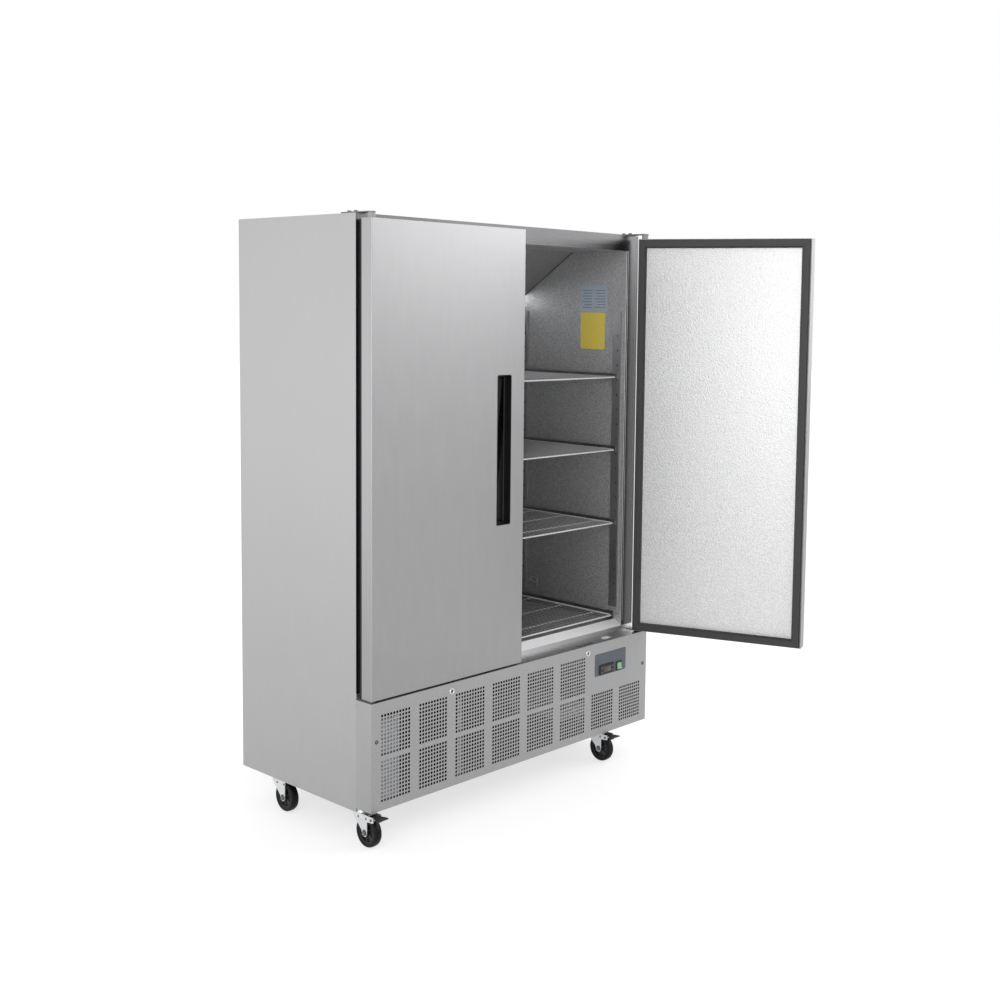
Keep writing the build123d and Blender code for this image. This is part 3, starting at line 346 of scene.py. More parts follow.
def dress(tree, shader, colour, roughness, height, strength, distance):
    """Feed colour, roughness and fine relief to the shader."""
    tree.links.new(colour, shader.inputs["Base Color"])
    tree.links.new(roughness, shader.inputs["Roughness"])
    bump = tree.nodes.new("ShaderNodeBump")
    bump.inputs["Strength"].default_value = strength
    bump.inputs["Distance"].default_value = distance
    tree.links.new(height, bump.inputs["Height"])
    tree.links.new(bump.outputs["Normal"], shader.inputs["Normal"])


def rub_along(tree, grain, dark, light, rough):
    """Colour and roughness of a brushed metal from its grain."""
    roughness = math_node(tree, "ADD", spread(tree, grain["Tone"], -0.07, 0.07), rough)
    roughness = math_node(tree, "ADD", roughness, spread(tree, grain["Haze"], -0.03, 0.05))
    return shade(tree, grain["Tone"], dark, light), roughness


def brushed_sheet(name, dark, light, rough, fineness=900.0):
    """Stainless sheet with upright brushing."""
    material, tree, shader = new_finish(name, rough, 1.0)
    grain = place_group(tree, brushed_grain, Fineness=fineness)
    colour, roughness = rub_along(tree, grain, dark, light, rough)
    dress(tree, shader, colour, roughness, grain["Height"], 0.12, 0.0004)
    return material


def frame_sheet(name, dark, light, rough, sill, slope):
    """Stainless sheet folded into the front frame, brushed along each member.

    The sill takes the colour given for it, a painted highlight paler than the rest, and its upward
    slopes a brighter painted highlight; both are made rougher.
    """
    material, tree, shader = new_finish(name, rough, 1.0)
    grain = place_group(tree, frame_grain, Fineness=620.0)
    colour, roughness = rub_along(tree, grain, dark, light, rough)
    # Painted highlight: the sill and its upward slopes take paler colours than the rest of the
    # frame.
    colour = mix_colour(tree, grain["Sill"], colour, (*sill, 1))
    colour = mix_colour(tree, grain["Slope"], colour, (*slope, 1))
    for mask, duller in (("Slope", 0.24), ("Sill", 0.12)):
        worn = math_node(tree, "MULTIPLY", grain[mask], duller)
        roughness = math_node(tree, "ADD", roughness, worn)
    dress(tree, shader, colour, roughness, grain["Height"], 0.12, 0.0004)
    return material


def plated(name, dark, light, rough, crystal=90.0, metallic=0.9):
    """Metal with a plated or cast skin, spangled or bright."""
    material, tree, shader = new_finish(name, rough, metallic)
    spangle = place_group(tree, zinc_spangle, Crystal_Scale=crystal)
    colour = shade(tree, spangle["Tone"], dark, light)
    roughness = spread(tree, spangle["Tone"], rough - 0.08, rough + 0.1)
    dress(tree, shader, colour, roughness, spangle["Height"], 0.08, 0.0003)
    return material


def moulded(
    name, dark, light, rough, pebble=1400.0, blotch=30.0, bump=0.15, worn=None, shine=0.5
):
    """Moulded plastic, rubber or a smooth coat; worn is the colour of its rubbed edges."""
    material, tree, shader = new_finish(name, rough, 0.0, shine)
    grain = place_group(tree, moulded_grain, Pebble_Scale=pebble, Blotch_Scale=blotch)
    colour = shade(tree, grain["Blotch"], dark, light)
    if worn:
        wear = place_group(tree, edge_wear, Reach=0.53)
        colour = mix_colour(tree, wear["Mask"], colour, (*worn, 1))
    roughness = spread(tree, grain["Blotch"], rough - 0.06, rough + 0.08)
    dress(tree, shader, colour, roughness, grain["Height"], bump, 0.0003)
    return material


def stucco_sheet(name, dark, light, rough, dimple, metallic, bump):
    """Embossed aluminium."""
    material, tree, shader = new_finish(name, rough, metallic)
    dimples = place_group(tree, stucco_dimples, Dimple_Scale=dimple)
    colour = shade(tree, dimples["Shine"], dark, light)
    roughness = spread(tree, dimples["Shine"], rough - 0.05, rough + 0.1)
    dress(tree, shader, colour, roughness, dimples["Height"], bump, 0.0012)
    return material


def glowing(name, colour, strength):
    """A lit diffuser, in places a little warmer."""
    material, tree, shader = new_finish(name, 0.4)
    grain = place_group(tree, moulded_grain, Pebble_Scale=500.0, Blotch_Scale=12.0)
    warm = (colour[0], colour[1] * 0.98, colour[2] * 0.95)
    tone = shade(tree, grain["Blotch"], colour, warm)
    tree.links.new(tone, shader.inputs["Base Color"])
    tree.links.new(tone, shader.inputs["Emission Color"])
    shader.inputs["Emission Strength"].default_value = strength
    return material


def glossy_window(name, dark, light):
    """The smoked front of a display."""
    material, tree, shader = new_finish(name, 0.12)
    grain = place_group(tree, moulded_grain, Pebble_Scale=60.0, Blotch_Scale=20.0)
    tree.links.new(shade(tree, grain["Blotch"], dark, light), shader.inputs["Base Color"])
    shader.inputs["Coat Weight"].default_value = 0.6
    shader.inputs["Coat Roughness"].default_value = 0.05
    return material


door_steel = brushed_sheet("door steel", (0.28, 0.28, 0.285), (0.345, 0.345, 0.35), 0.40)
side_steel = brushed_sheet("side steel", (0.35, 0.35, 0.355), (0.41, 0.41, 0.415), 0.5)
panel_steel = brushed_sheet("panel steel", (0.31, 0.31, 0.315), (0.38, 0.38, 0.385), 0.44)
# Painted shade and highlight: the frame's near-black colours paint dark reflections and shade, and
# its two pale sill colours paint highlights.
frame_steel = frame_sheet(
    "frame steel", (0.075, 0.075, 0.077), (0.115, 0.115, 0.118), 0.25,
    (0.66, 0.66, 0.665), (0.92, 0.92, 0.925),
)
trim_steel = brushed_sheet("trim steel", (0.36, 0.36, 0.37), (0.46, 0.46, 0.47), 0.3, 500.0)
rail_steel = brushed_sheet("rail steel", (0.20, 0.20, 0.21), (0.30, 0.30, 0.31), 0.36, 500.0)
strip_steel = brushed_sheet("strip steel", (0.30, 0.30, 0.305), (0.42, 0.42, 0.425), 0.46, 500.0)
lining_metal = stucco_sheet(
    "lining aluminium", (0.24, 0.24, 0.243), (0.37, 0.37, 0.375), 0.44, 170.0, 0.4, 0.8
)
embossed_metal = stucco_sheet(
    "embossed aluminium", (0.58, 0.58, 0.585), (0.72, 0.72, 0.725), 0.42, 190.0, 0.35, 0.6
)
spangled_zinc = plated("spangled zinc", (0.34, 0.35, 0.37), (0.58, 0.59, 0.60), 0.42)
# Painted shade: the base pan's zinc is made near black to stand for the shade inside the machine
# compartment.
shade_darkened_zinc = plated("shade-darkened zinc", (0.045, 0.045, 0.047), (0.10, 0.10, 0.103), 0.6, 90.0, 0.35)
bright_zinc = plated("bright zinc", (0.54, 0.55, 0.56), (0.72, 0.73, 0.74), 0.42, 700.0, 1.0)
back_zinc = plated("back zinc", (0.26, 0.265, 0.275), (0.34, 0.345, 0.355), 0.6, 130.0, 0.45)
# Painted shade: near-black zinc for the panel screws.
dark_zinc = plated("dark zinc", (0.05, 0.05, 0.052), (0.10, 0.10, 0.103), 0.5, 600.0)
dull_zinc = plated("dull zinc", (0.12, 0.12, 0.125), (0.20, 0.20, 0.205), 0.45, 500.0)
grey_plate = plated("grey plate", (0.10, 0.10, 0.105), (0.20, 0.20, 0.21), 0.46, 300.0)
chrome = plated("polished chrome", (0.66, 0.66, 0.67), (0.78, 0.78, 0.79), 0.12, 900.0, 1.0)
seal_rubber = moulded(
    "seal rubber", (0.020, 0.020, 0.021), (0.032, 0.032, 0.033), 0.5, 900.0, 14.0, 0.08,
    shine=0.4,
)
tyre_rubber = moulded(
    "tyre rubber", (0.003, 0.003, 0.003), (0.008, 0.008, 0.008), 0.38, 1100.0, 60.0, 0.2,
    (0.05, 0.05, 0.05), 0.12,
)
hub_plastic = moulded(
    "hub plastic", (0.005, 0.005, 0.005), (0.011, 0.011, 0.011), 0.36, 1500.0, 80.0, 0.1,
    (0.06, 0.06, 0.06), 0.4,
)
black_plastic = moulded(
    "black plastic", (0.003, 0.003, 0.003), (0.006, 0.006, 0.006), 0.46, 1800.0, 40.0, 0.12,
    (0.05, 0.05, 0.05), 0.25,
)
case_plastic = moulded(
    "case plastic", (0.006, 0.006, 0.007), (0.011, 0.011, 0.012), 0.38, 2400.0, 90.0, 0.1,
    (0.05, 0.05, 0.05), 0.35,
)
slate_film = moulded(
    "slate film", (0.062, 0.078, 0.095), (0.082, 0.100, 0.118), 0.38, 2600.0, 25.0, 0.06
)
key_plastic = moulded("key plastic", (0.07, 0.07, 0.07), (0.11, 0.11, 0.11), 0.5, 2600.0)
green_plastic = moulded(
    "green plastic", (0.20, 0.44, 0.24), (0.27, 0.52, 0.30), 0.3, 2600.0, 60.0, 0.05
)
white_plastic = moulded(
    "white plastic", (0.72, 0.72, 0.70), (0.84, 0.84, 0.82), 0.42, 1400.0, 40.0, 0.08
)
bush_plastic = moulded(
    "bush plastic", (0.22, 0.22, 0.22), (0.30, 0.30, 0.30), 0.45, 1600.0, 60.0, 0.08
)
wire_coat = moulded("wire coat", (0.58, 0.58, 0.59), (0.68, 0.68, 0.69), 0.3, 2200.0, 160.0, 0.05)
thin_wire_coat = moulded(
    "thin wire coat", (0.25, 0.25, 0.252), (0.33, 0.33, 0.333), 0.4, 2200.0, 160.0, 0.05
)
black_enamel = moulded(
    "black enamel", (0.012, 0.012, 0.012), (0.024, 0.024, 0.024), 0.3, 700.0, 24.0, 0.1
)
foam_plastic = moulded("foam", (0.66, 0.58, 0.36), (0.80, 0.72, 0.48), 0.85, 900.0, 20.0, 0.4)
fin_metal = brushed_sheet("fin aluminium", (0.34, 0.34, 0.35), (0.56, 0.56, 0.57), 0.4, 300.0)
copper = plated("copper", (0.52, 0.22, 0.12), (0.72, 0.36, 0.22), 0.3, 60.0, 1.0)
plate_film = moulded("rating film", (0.24, 0.29, 0.34), (0.29, 0.34, 0.40), 0.4, 2400.0, 40.0, 0.04)
ruled_ink = moulded("ruled ink", (0.06, 0.08, 0.11), (0.09, 0.11, 0.14), 0.5, 2400.0, 60.0, 0.03)
yellow_card = moulded(
    "yellow card", (0.54, 0.43, 0.05), (0.61, 0.49, 0.07), 0.55, 1800.0, 50.0, 0.06
)
display_window = glossy_window("display window", (0.020, 0.012, 0.011), (0.034, 0.022, 0.02))
lamp_glow = glowing("lamp diffuser", (0.95, 0.97, 1.0), 10.0)
strip_glow = glowing("strip diffuser", (0.97, 0.98, 1.0), 26.0)


# Making pieces


def finish_piece(name, bm, finish, body, slot, replaces=(), smooth=32.0):
    """Turn a bmesh in cabinet millimetres into a piece that rides on a body."""
    bmesh.ops.scale(bm, vec=(0.001, 0.001, 0.001), verts=bm.verts)
    bmesh.ops.translate(bm, vec=CABINET_PLACE, verts=bm.verts)
    for face in bm.faces:
        face.smooth = True
    mesh = bpy.data.meshes.new(name)
    bm.to_mesh(mesh)
    bm.free()
    mesh.set_sharp_from_angle(angle=radians(smooth))
    mesh.materials.append(finish)
    made = bpy.data.objects.new(name, mesh)
    bpy.context.scene.collection.objects.link(made)
    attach(made, body)
    if replaces:
        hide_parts(*replaces)


def finish_at(place, name, bm, finish, body, slot, node, smooth=32.0):
    """Finish a piece that has its place at the end of its name, its body's and its node's."""
    finish_piece(
        f"{name}_{place}", bm, finish, f"{body}_{place}", slot, (f"{node}_{place}",), smooth
    )


def finish_on_door(side, word, name, bm, finish, slot, node, smooth=32.0):
    """Finish a piece built on a closed door; the right-hand door stands open at rest."""
    if side > 0:
        turn(bm, bm.verts, OPEN_ANGLE, "Z", (PIVOT_X, PIVOT_Y, 0))
    finish_at(word, name, bm, finish, "door", slot, node, smooth)


def same(measure, other):
    """Whether two measures are one, to a hundredth of a millimetre."""
    return abs(measure - other) < SAME_POINT


def new_points(geometry):
    """The vertices among what an operator made."""
    return [item for item in geometry if isinstance(item, bmesh.types.BMVert)]


def face_out(bm):
    """Turn every face of the closed shells outwards."""
    bmesh.ops.recalc_face_normals(bm, faces=bm.faces)


def turn(bm, verts, angle, axis, centre=(0, 0, 0)):
    """Turn vertices about an axis through the centre."""
    bmesh.ops.rotate(bm, cent=centre, matrix=Matrix.Rotation(angle, 3, axis), verts=verts)


def round_off(bm, geometry, width, segments, affect="EDGES"):
    """Round edges or corners; returns the vertices that it makes."""
    return bmesh.ops.bevel(
        bm, geom=geometry, offset=width, offset_type="OFFSET", affect=affect,
        segments=segments, profile=0.5, material=-1, clamp_overlap=True,
    )["verts"]


def spin_round(bm, geometry, angle, steps, full):
    """Spin vertices and edges about the upright line through the origin."""
    bmesh.ops.spin(
        bm, geom=geometry, cent=(0, 0, 0), axis=(0, 0, 1), dvec=(0, 0, 0), angle=angle,
        steps=steps, space=Matrix.Identity(4), use_merge=full, use_duplicate=False,
    )


def cut_through(bm, geometry, place, normal):
    """Divide what a plane passes through."""
    bmesh.ops.bisect_plane(bm, geom=geometry, plane_co=place, plane_no=normal)


def each_once(items):
    """The items in the order in which they first come."""
    return list(dict.fromkeys(items))


def connected(seeds):
    """Every vertex joined by edges to the seeds."""
    region = dict.fromkeys(seeds)
    reached = list(seeds)
    while reached:
        for edge in reached.pop().link_edges:
            for vert in edge.verts:
                if vert not in region:
                    region[vert] = None
                    reached.append(vert)
    return list(region)


def add_block(bm, low, high, edge=0.0, segments=2):
    """A block between two corners with rounded edges."""
    made = bmesh.ops.create_cube(bm, size=1.0)["verts"]
    size = [high[i] - low[i] for i in range(3)]
    middle = [(high[i] + low[i]) / 2 for i in range(3)]
    bmesh.ops.scale(bm, vec=size, verts=made)
    bmesh.ops.translate(bm, vec=middle, verts=made)
    if edge:
        edges = each_once(edge for vert in made for edge in vert.link_edges)
        made = connected(round_off(bm, edges, edge, segments))
    return made


def add_rod(bm, start, end, radius, sides=8, end_radius=None):
    """A rod or cone from start to end."""
    start, end = Vector(start), Vector(end)
    run = end - start
    aim = Vector((0, 0, 1)).rotation_difference(run).to_matrix().to_4x4()
    bmesh.ops.create_cone(
        bm, cap_ends=True, segments=sides, radius1=radius,
        radius2=radius if end_radius is None else end_radius, depth=run.length,
        matrix=Matrix.Translation((start + end) / 2) @ aim,
    )


def add_lathe(bm, outline, centre, axis, steps=32):
    """Turn an outline of (radius, height) points about an axis through centre."""
    aim = Vector((0, 0, 1)).rotation_difference(Vector(axis)).to_matrix().to_4x4()
    made = [bm.verts.new((radius, 0, height)) for radius, height in outline]
    edges = [bm.edges.new(pair) for pair in zip(made, made[1:])]
    spin_round(bm, made + edges, 2 * pi, steps, True)
    region = connected(made)
    bmesh.ops.remove_doubles(bm, verts=region, dist=SAME_POINT / 10)
    region = [vert for vert in region if vert.is_valid]
    faces = each_once(face for vert in region for face in vert.link_faces)
    bmesh.ops.recalc_face_normals(bm, faces=faces)
    bmesh.ops.transform(bm, matrix=Matrix.Translation(centre) @ aim, verts=region)


def add_sheet(bm, width, low, high, x, y):
    """A flat upright sheet that faces the front, between two heights."""
    made = bmesh.ops.create_grid(bm, x_segments=1, y_segments=1, size=0.5)["verts"]
    bmesh.ops.scale(bm, vec=(width, high - low, 1), verts=made)
    turn(bm, made, pi / 2, "X")
    bmesh.ops.translate(bm, vec=(x, y, (high + low) / 2), verts=made)
    return made


def add_plate(bm, points, vector):
    """A flat face through the points, pushed along a vector into a closed solid."""
    face = bm.faces.new([bm.verts.new(point) for point in points])
    made = bmesh.ops.extrude_face_region(bm, geom=[face], use_keep_orig=True)["geom"]
    bmesh.ops.translate(bm, vec=vector, verts=new_points(made))
    face_out(bm)


# Punched lower panel


def patch_spans():
    """Left edge and column count of each patch, right of the middle."""
    spans = []
    edge = PATCH_WEB / 2 + HOLE / 2 - PITCH_X / 2
    for columns in PATCH_COLUMNS:
        spans.append((edge, columns))
        edge += (columns - 1) * PITCH_X + HOLE + PATCH_WEB
    return spans


def punched_places():
    """Rounded x and z of every hole; none lies behind the controls or in the plain band."""
    places = set()
    for number, (left, columns) in enumerate(patch_spans()):
        for side in (-1, 1):
            for row in range(2 * PATCH_ROWS + 1):
                behind_controls = side > 0 and number > 1 and row < PATCH_ROWS
                if row == PATCH_ROWS or behind_controls:
                    continue
                for column in range(columns):
                    x = side * (left + (column + 0.5) * PITCH_X)
                    places.add((round(x), round(PATCH_TOP - row * PITCH_Z)))
    return places


def punch_holes(bm):
    """Cut the sheet into cells and open the ones that hold a hole."""
    cuts = [
        ((side * (left + number * PITCH_X), 0, 0), (1, 0, 0))
        for left, columns in patch_spans() for side in (-1, 1) for number in range(columns + 1)
    ]
    cuts += [
        ((0, 0, PATCH_TOP + PITCH_Z / 2 - row * PITCH_Z), (0, 0, 1))
        for row in range(2 * PATCH_ROWS + 2)
    ]
    for place, normal in cuts:
        cut_through(bm, bm.verts[:] + bm.edges[:] + bm.faces[:], place, normal)
    places = punched_places()
    cells = []
    for face in bm.faces:
        middle = face.calc_center_median()
        if (round(middle.x), round(middle.z)) in places and face.calc_area() < LARGEST_CELL:
            cells.append(face)
    bmesh.ops.inset_individual(bm, faces=cells, thickness=(PITCH_X - HOLE) / 2)
    rims = each_once(edge for face in cells for edge in face.edges)
    bmesh.ops.subdivide_edges(bm, edges=rims, cuts=2)
    for face in cells:
        middle = face.calc_center_median()
        for vert in face.verts:
            vert.co = middle + (vert.co - middle).normalized() * (HOLE / 2)
    bmesh.ops.delete(bm, geom=cells, context="FACES")


def fold_back(bm, edges):
    """Fold a flange from the panel's edges straight back; returns its faces."""
    made = bmesh.ops.extrude_edge_only(bm, edges=edges)["geom"]
    bmesh.ops.translate(bm, vec=(0, -PANEL_FACE, 0), verts=new_points(made))
    return [item for item in made if isinstance(item, bmesh.types.BMFace)]


def open_lock_slots(bm, flange):
    """Cut a slot through the roof flange behind each lock."""
    cuts = [
        ((side * LOCK_X + end * SLOT_HALF, 0, 0), (1, 0, 0)) for side in (-1, 1) for end in (-1, 1)
    ]
    cuts += [((0, y, 0), (0, 1, 0)) for y in (SLOT_FRONT, SLOT_BACK)]
    for place, normal in cuts:
        geometry = each_once(item for face in flange for item in (face, *face.edges, *face.verts))
        cut_through(bm, geometry, place, normal)
        flange = [face for face in bm.faces if same(face.calc_center_median().z, PANEL_TOP)]
    slots = []
    for face in flange:
        middle = face.calc_center_median()
        if abs(abs(middle.x) - LOCK_X) < SLOT_HALF and SLOT_FRONT < middle.y < SLOT_BACK:
            slots.append(face)
    bmesh.ops.delete(bm, geom=slots, context="FACES")


def make_lower_panel():
    """The front sheet with every hole punched, its roof flange and its two returns."""
    bm = bmesh.new()
    add_sheet(bm, 2 * CABINET_HALF, PANEL_BOTTOM, PANEL_TOP, 0, PANEL_FACE)
    punch_holes(bm)
    roof = [e for e in bm.edges if all(same(v.co.z, PANEL_TOP) for v in e.verts)]
    open_lock_slots(bm, fold_back(bm, roof))
    for side in (-1, 1):
        end = side * CABINET_HALF
        ends = [
            e for e in bm.edges
            if all(same(v.co.x, end) and same(v.co.y, PANEL_FACE) for v in e.verts)
        ]
        fold_back(bm, ends)
    bmesh.ops.remove_doubles(bm, verts=bm.verts, dist=SAME_POINT)
    face_out(bm)
    bmesh.ops.solidify(bm, geom=bm.faces[:], thickness=-PANEL_SHEET)
    finish_piece("punched_panel", bm, panel_steel, "cabinet", "brushed_casing", ("lower_panel",))


# Doors


def door_bounds(side):
    """The door's edges: two across, then bottom and top."""
    edges = sorted((side * DOOR_NEAR, side * DOOR_FAR))
    return (*edges, DOOR_BOTTOM, DOOR_TOP)


def sweep_rectangle(bm, bounds, profile):
    """Carry a profile of (inset, depth) points round a rectangle with mitred corners."""
    x0, x1, z0, z1 = bounds
    inset, y = profile[0]
    points = (
        (x0 + inset, y, z0 + inset), (x1 - inset, y, z0 + inset),
        (x1 - inset, y, z1 - inset), (x0 + inset, y, z1 - inset),
    )
    verts = [bm.verts.new(point) for point in points]
    loop = [bm.edges.new((verts[i - 1], verts[i])) for i in range(4)]
    for (inset, y), (next_inset, next_y) in zip(profile, profile[1:]):
        moved = set(new_points(bmesh.ops.extrude_edge_only(bm, edges=loop)["geom"]))
        step = next_inset - inset
        for vert in moved:
            vert.co.x += step if vert.co.x < (x0 + x1) / 2 else -step
            vert.co.z += step if vert.co.z < (z0 + z1) / 2 else -step
            vert.co.y += next_y - y
        loop = [e for e in bm.edges if e.verts[0] in moved and e.verts[1] in moved]
    return loop


def make_gasket(side, word):
    """A welded seal: snap-in foot, side fin, bellows and the magnet's bulb, mitred."""
    bm = bmesh.new()
    profile = (
        (10.0, -19.0), (10.0, -15.4), (2.4, -14.8), (2.4, -13.8), (6.0, -13.0), (6.4, -10.5),
        (9.0, -9.0), (6.6, -7.6), (6.2, -3.0), (7.6, -1.2), (12.0, -1.0), (24.0, -1.0),
        (29.0, -1.6), (30.6, -4.0), (30.0, -7.2), (26.4, -8.6), (26.0, -10.6), (31.4, -12.6),
        (34.4, -15.0), (34.5, -16.4), (30.0, -17.2), (28.0, -19.0), (10.0, -19.0),
    )
    sweep_rectangle(bm, door_bounds(side), profile)
    bmesh.ops.remove_doubles(bm, verts=bm.verts, dist=SAME_POINT)
    face_out(bm)
    finish_on_door(side, word, "seal", bm, seal_rubber, "gasket_rubber", "gasket", 40.0)


def make_door_lining(side, word):
    """The inner sheet, with a raised field and a stepped margin that the seal sits on."""
    bm = bmesh.new()
    profile = ((3.0, DOOR_BACK), (3.0, -19.0), (36.0, -19.0), (38.0, -18.4))
    field = sweep_rectangle(bm, door_bounds(side), profile)
    bmesh.ops.edgeloop_fill(bm, edges=field)
    back = [e for e in bm.edges if all(same(v.co.y, DOOR_BACK) for v in e.verts)]
    bmesh.ops.edgeloop_fill(bm, edges=back)
    face_out(bm)
    finish_on_door(
        side, word, "door_lining", bm, embossed_metal, "door_lining_sheet", "door_inner"
    )


def make_pull(side, word):
    """The recessed grip: a thin flange, a tapered cup and a finger ledge round its waist."""
    bm = bmesh.new()
    flange = add_sheet(
        bm, GRIP_WIDTH, GRIP_BOTTOM, GRIP_TOP, side * GRIP_X, DOOR_FACE + GRIP_LIFT
    )
    round_off(bm, flange, 6.0, 4, "VERTICES")
    bm.faces.ensure_lookup_table()
    middle = bm.faces[0]
    for inset, depth in (
        (0.5, 1.0), (1.7, 0.0), (0.6, -0.6), (1.0, -19.4), (2.6, -0.4), (0.5, -5.6), (3.0, -2.2),
    ):
        bmesh.ops.inset_region(
            bm, faces=[middle], thickness=inset, depth=depth, use_boundary=True,
            use_even_offset=True,
        )
    finish_on_door(
        side, word, "recessed_grip", bm, black_plastic, "black_plastic", "grip", 30.0
    )


# Trim round the openings, hinge bolts and panel screws


def make_opening_trim():
    """Slim upright beads where the lining's edge is folded round the frame."""
    bm = bmesh.new()
    for edge in (-608.0, -42.0, 42.0, 608.0):
        outward = 1 if edge in (-42.0, 608.0) else -1
        for shift, y, radius in ((-0.6, 3.0, 1.4), (5.0, 0.4, 1.1)):
            x = edge + outward * shift
            add_rod(bm, (x, y, OPENING_BOTTOM), (x, y, OPENING_TOP), radius, 10)
    face_out(bm)
    finish_piece("opening_beads", bm, trim_steel, "cabinet", "brushed_casing", (), 50.0)


def make_edge_trims():
    """Thin folded strips over the front edges of the side panels."""
    bm = bmesh.new()
    for side in (-1, 1):
        low, high = sorted((side * 659.0, side * CABINET_HALF))
        add_block(bm, (low, -0.6, 477.0), (high, 0.4, 1980.0), 0.2, 1)
    finish_piece("edge_trims", bm, frame_steel, "cabinet", "brushed_casing")


def make_slot_shade_sheets():
    """Dark sheets put behind the slots of the eight shelf uprights as painted shade."""
    bm = bmesh.new()
    for side in (-1, 1):
        for y in (41.0, 536.0):
            for wall in (602.2, 47.8):
                low, high = sorted((side * (wall - 0.4), side * (wall + 0.4)))
                add_block(bm, (low, y - 6.0, 570.0), (high, y + 6.0, 1686.0), 0.1, 1)
    finish_piece("slot_shade_sheets", bm, black_plastic, "cabinet", "black_plastic")


def make_light_strips():
    """A narrow light under the cover's rear lip in each compartment."""
    bm = bmesh.new()
    for x0, x1 in ((-600.0, -170.0), (170.0, 600.0)):
        add_block(bm, (x0, 550.0, 1750.6), (x1, 561.0, 1753.4), 0.8, 2)
    finish_piece("light_strips", bm, strip_glow, "cabinet", "lamp_plastic")


def make_wall_clip():
    """The folded wire clip on the right-hand wall: a small loop with one long leg."""
    bm = bmesh.new()
    for low, high in (
        ((452.0, 608.0), (491.0, 612.5)), ((452.0, 589.0), (491.0, 593.5)),
        ((487.0, 589.0), (491.0, 612.5)), ((452.0, 565.0), (457.0, 612.5)),
    ):
        add_block(bm, (604.0, *low), (607.8, *high), 0.8, 2)
    finish_piece("wall_clip", bm, bright_zinc, "cabinet", "zinc_plate")


def make_hinge_bolts():
    """Hinge bolts with their washers."""
    bm = bmesh.new()
    for side in (-1, 1):
        x = side * PIVOT_X
        for y in (24.0, 56.0):
            add_rod(bm, (x, y, 1989.0), (x, y, 1990.2), 8.6, 24)
            add_rod(bm, (x, y, 1990.2), (x, y, 1993.6), 6.9, 6)
            add_rod(bm, (x, y, 1993.6), (x, y, 1994.4), 6.9, 6, 5.9)
    finish_piece("hinge_bolts", bm, dull_zinc, "cabinet", "screw_steel", ("screws",))


def make_panel_screws():
    """The two screws that hold the lower panel, dished in the middle; their near-black colour is
    painted shade.
    """
    bm = bmesh.new()
    for side in (-1, 1):
        add_lathe(
            bm,
            (
                (0.0, 1.2), (1.4, 0.3), (2.8, 0.5), (3.6, 1.9), (5.2, 1.6), (6.8, 0.8),
                (7.2, 0.0), (0.0, 0.0),
            ),
            (side * 649.0, PANEL_FACE, 348.0), (0, -1, 0), 24,
        )
    face_out(bm)
    finish_piece("panel_screws", bm, dark_zinc, "cabinet", "screw_steel", ("screws",))


# Controls and locks


def make_lock_noses():
    """The flanged noses of the two lock barrels."""
    bm = bmesh.new()
    for side in (-1, 1):
        add_lathe(
            bm,
            (
                (6.0, -19.0), (7.7, -19.0), (7.7, 0.0), (9.8, 0.0), (10.0, 0.8), (9.4, 1.7),
                (8.6, 2.0), (7.4, 1.9), (6.8, 1.2), (6.0, 1.0), (6.0, -19.0),
            ),
            (side * LOCK_X, PANEL_FACE, LOCK_Z), (0, -1, 0), 36,
        )
    finish_piece("lock_noses", bm, chrome, "cabinet", "chrome_lock", ("lock_barrels",))


def make_display():
    """The smoked window of the thermostat, with its rounded rim."""
    bm = bmesh.new()
    add_block(bm, (415.2, -82.0, 358.2), (456.8, -81.1, 378.8), 0.4, 2)
    finish_piece("display_glass", bm, display_window, "cabinet", "controller_plastic")


def make_ramp():
    """The white ramp on the sill that lifts the closing door: low ends and a ridged middle."""
    bm = bmesh.new()
    side = (
        (452.0, 472.0), (494.0, 472.0), (494.0, 472.8), (482.0, 475.9), (464.0, 475.9),
        (452.0, 472.8),
    )
    add_plate(bm, [(x, -50.0, z) for x, z in side], (0, 18.0, 0))
    finish_piece("door_ramp", bm, white_plastic, "cabinet", "white_plastic", ("door_wedge",))


def make_cover_seals():
    """The dark strips between the evaporator's cover and the outer walls."""
    bm = bmesh.new()
    for side in (-1, 1):
        x = side * 606.6
        add_rod(bm, (x, 283.0, 1923.0), (x, 546.0, 1752.6), 1.5, 6)
    face_out(bm)
    finish_piece("cover_seals", bm, seal_rubber, "cabinet", "gasket_rubber")


# Casters


def make_wheel(place, x, y):
    """A solid rubber tyre on a plastic centre with ribs and a bored boss."""
    centre = (x, y - TRAIL, WHEEL_RADIUS)
    axis = (1, 0, 0)
    bm = bmesh.new()
    add_lathe(
        bm,
        (
            (34.0, -11.0), (38.0, -13.2), (44.0, -14.0), (47.6, -12.4), (49.3, -9.0),
            (50.0, -4.0), (50.0, 4.0), (49.3, 9.0), (47.6, 12.4), (44.0, 14.0),
            (38.0, 13.2), (34.0, 11.0), (34.0, -11.0),
        ),
        centre, axis, 48,
    )
    finish_at(place, "tyre", bm, tyre_rubber, "roller", "wheel_rubber", "wheel")
    bm = bmesh.new()
    add_lathe(
        bm,
        (
            (6.3, -15.6), (11.0, -15.6), (12.0, -14.6), (12.6, -6.0), (30.0, -5.0),
            (32.6, -11.6), (34.2, -11.6), (34.2, 11.6), (32.6, 11.6), (30.0, 5.0),
            (12.6, 6.0), (12.0, 14.6), (11.0, 15.6), (6.3, 15.6), (6.3, -15.6),
        ),
        centre, axis, 36,
    )
    for number in range(6):
        rib = add_block(bm, (-9.5, -1.3, 11.5), (9.5, 1.3, 33.0), 0.6, 1)
        spoke = Matrix.Translation(centre) @ Matrix.Rotation(number * pi / 3, 4, "X")
        bmesh.ops.transform(bm, matrix=spoke, verts=rib)
    finish_at(place, "wheel_centre", bm, hub_plastic, "roller", "wheel_rubber", "wheel")


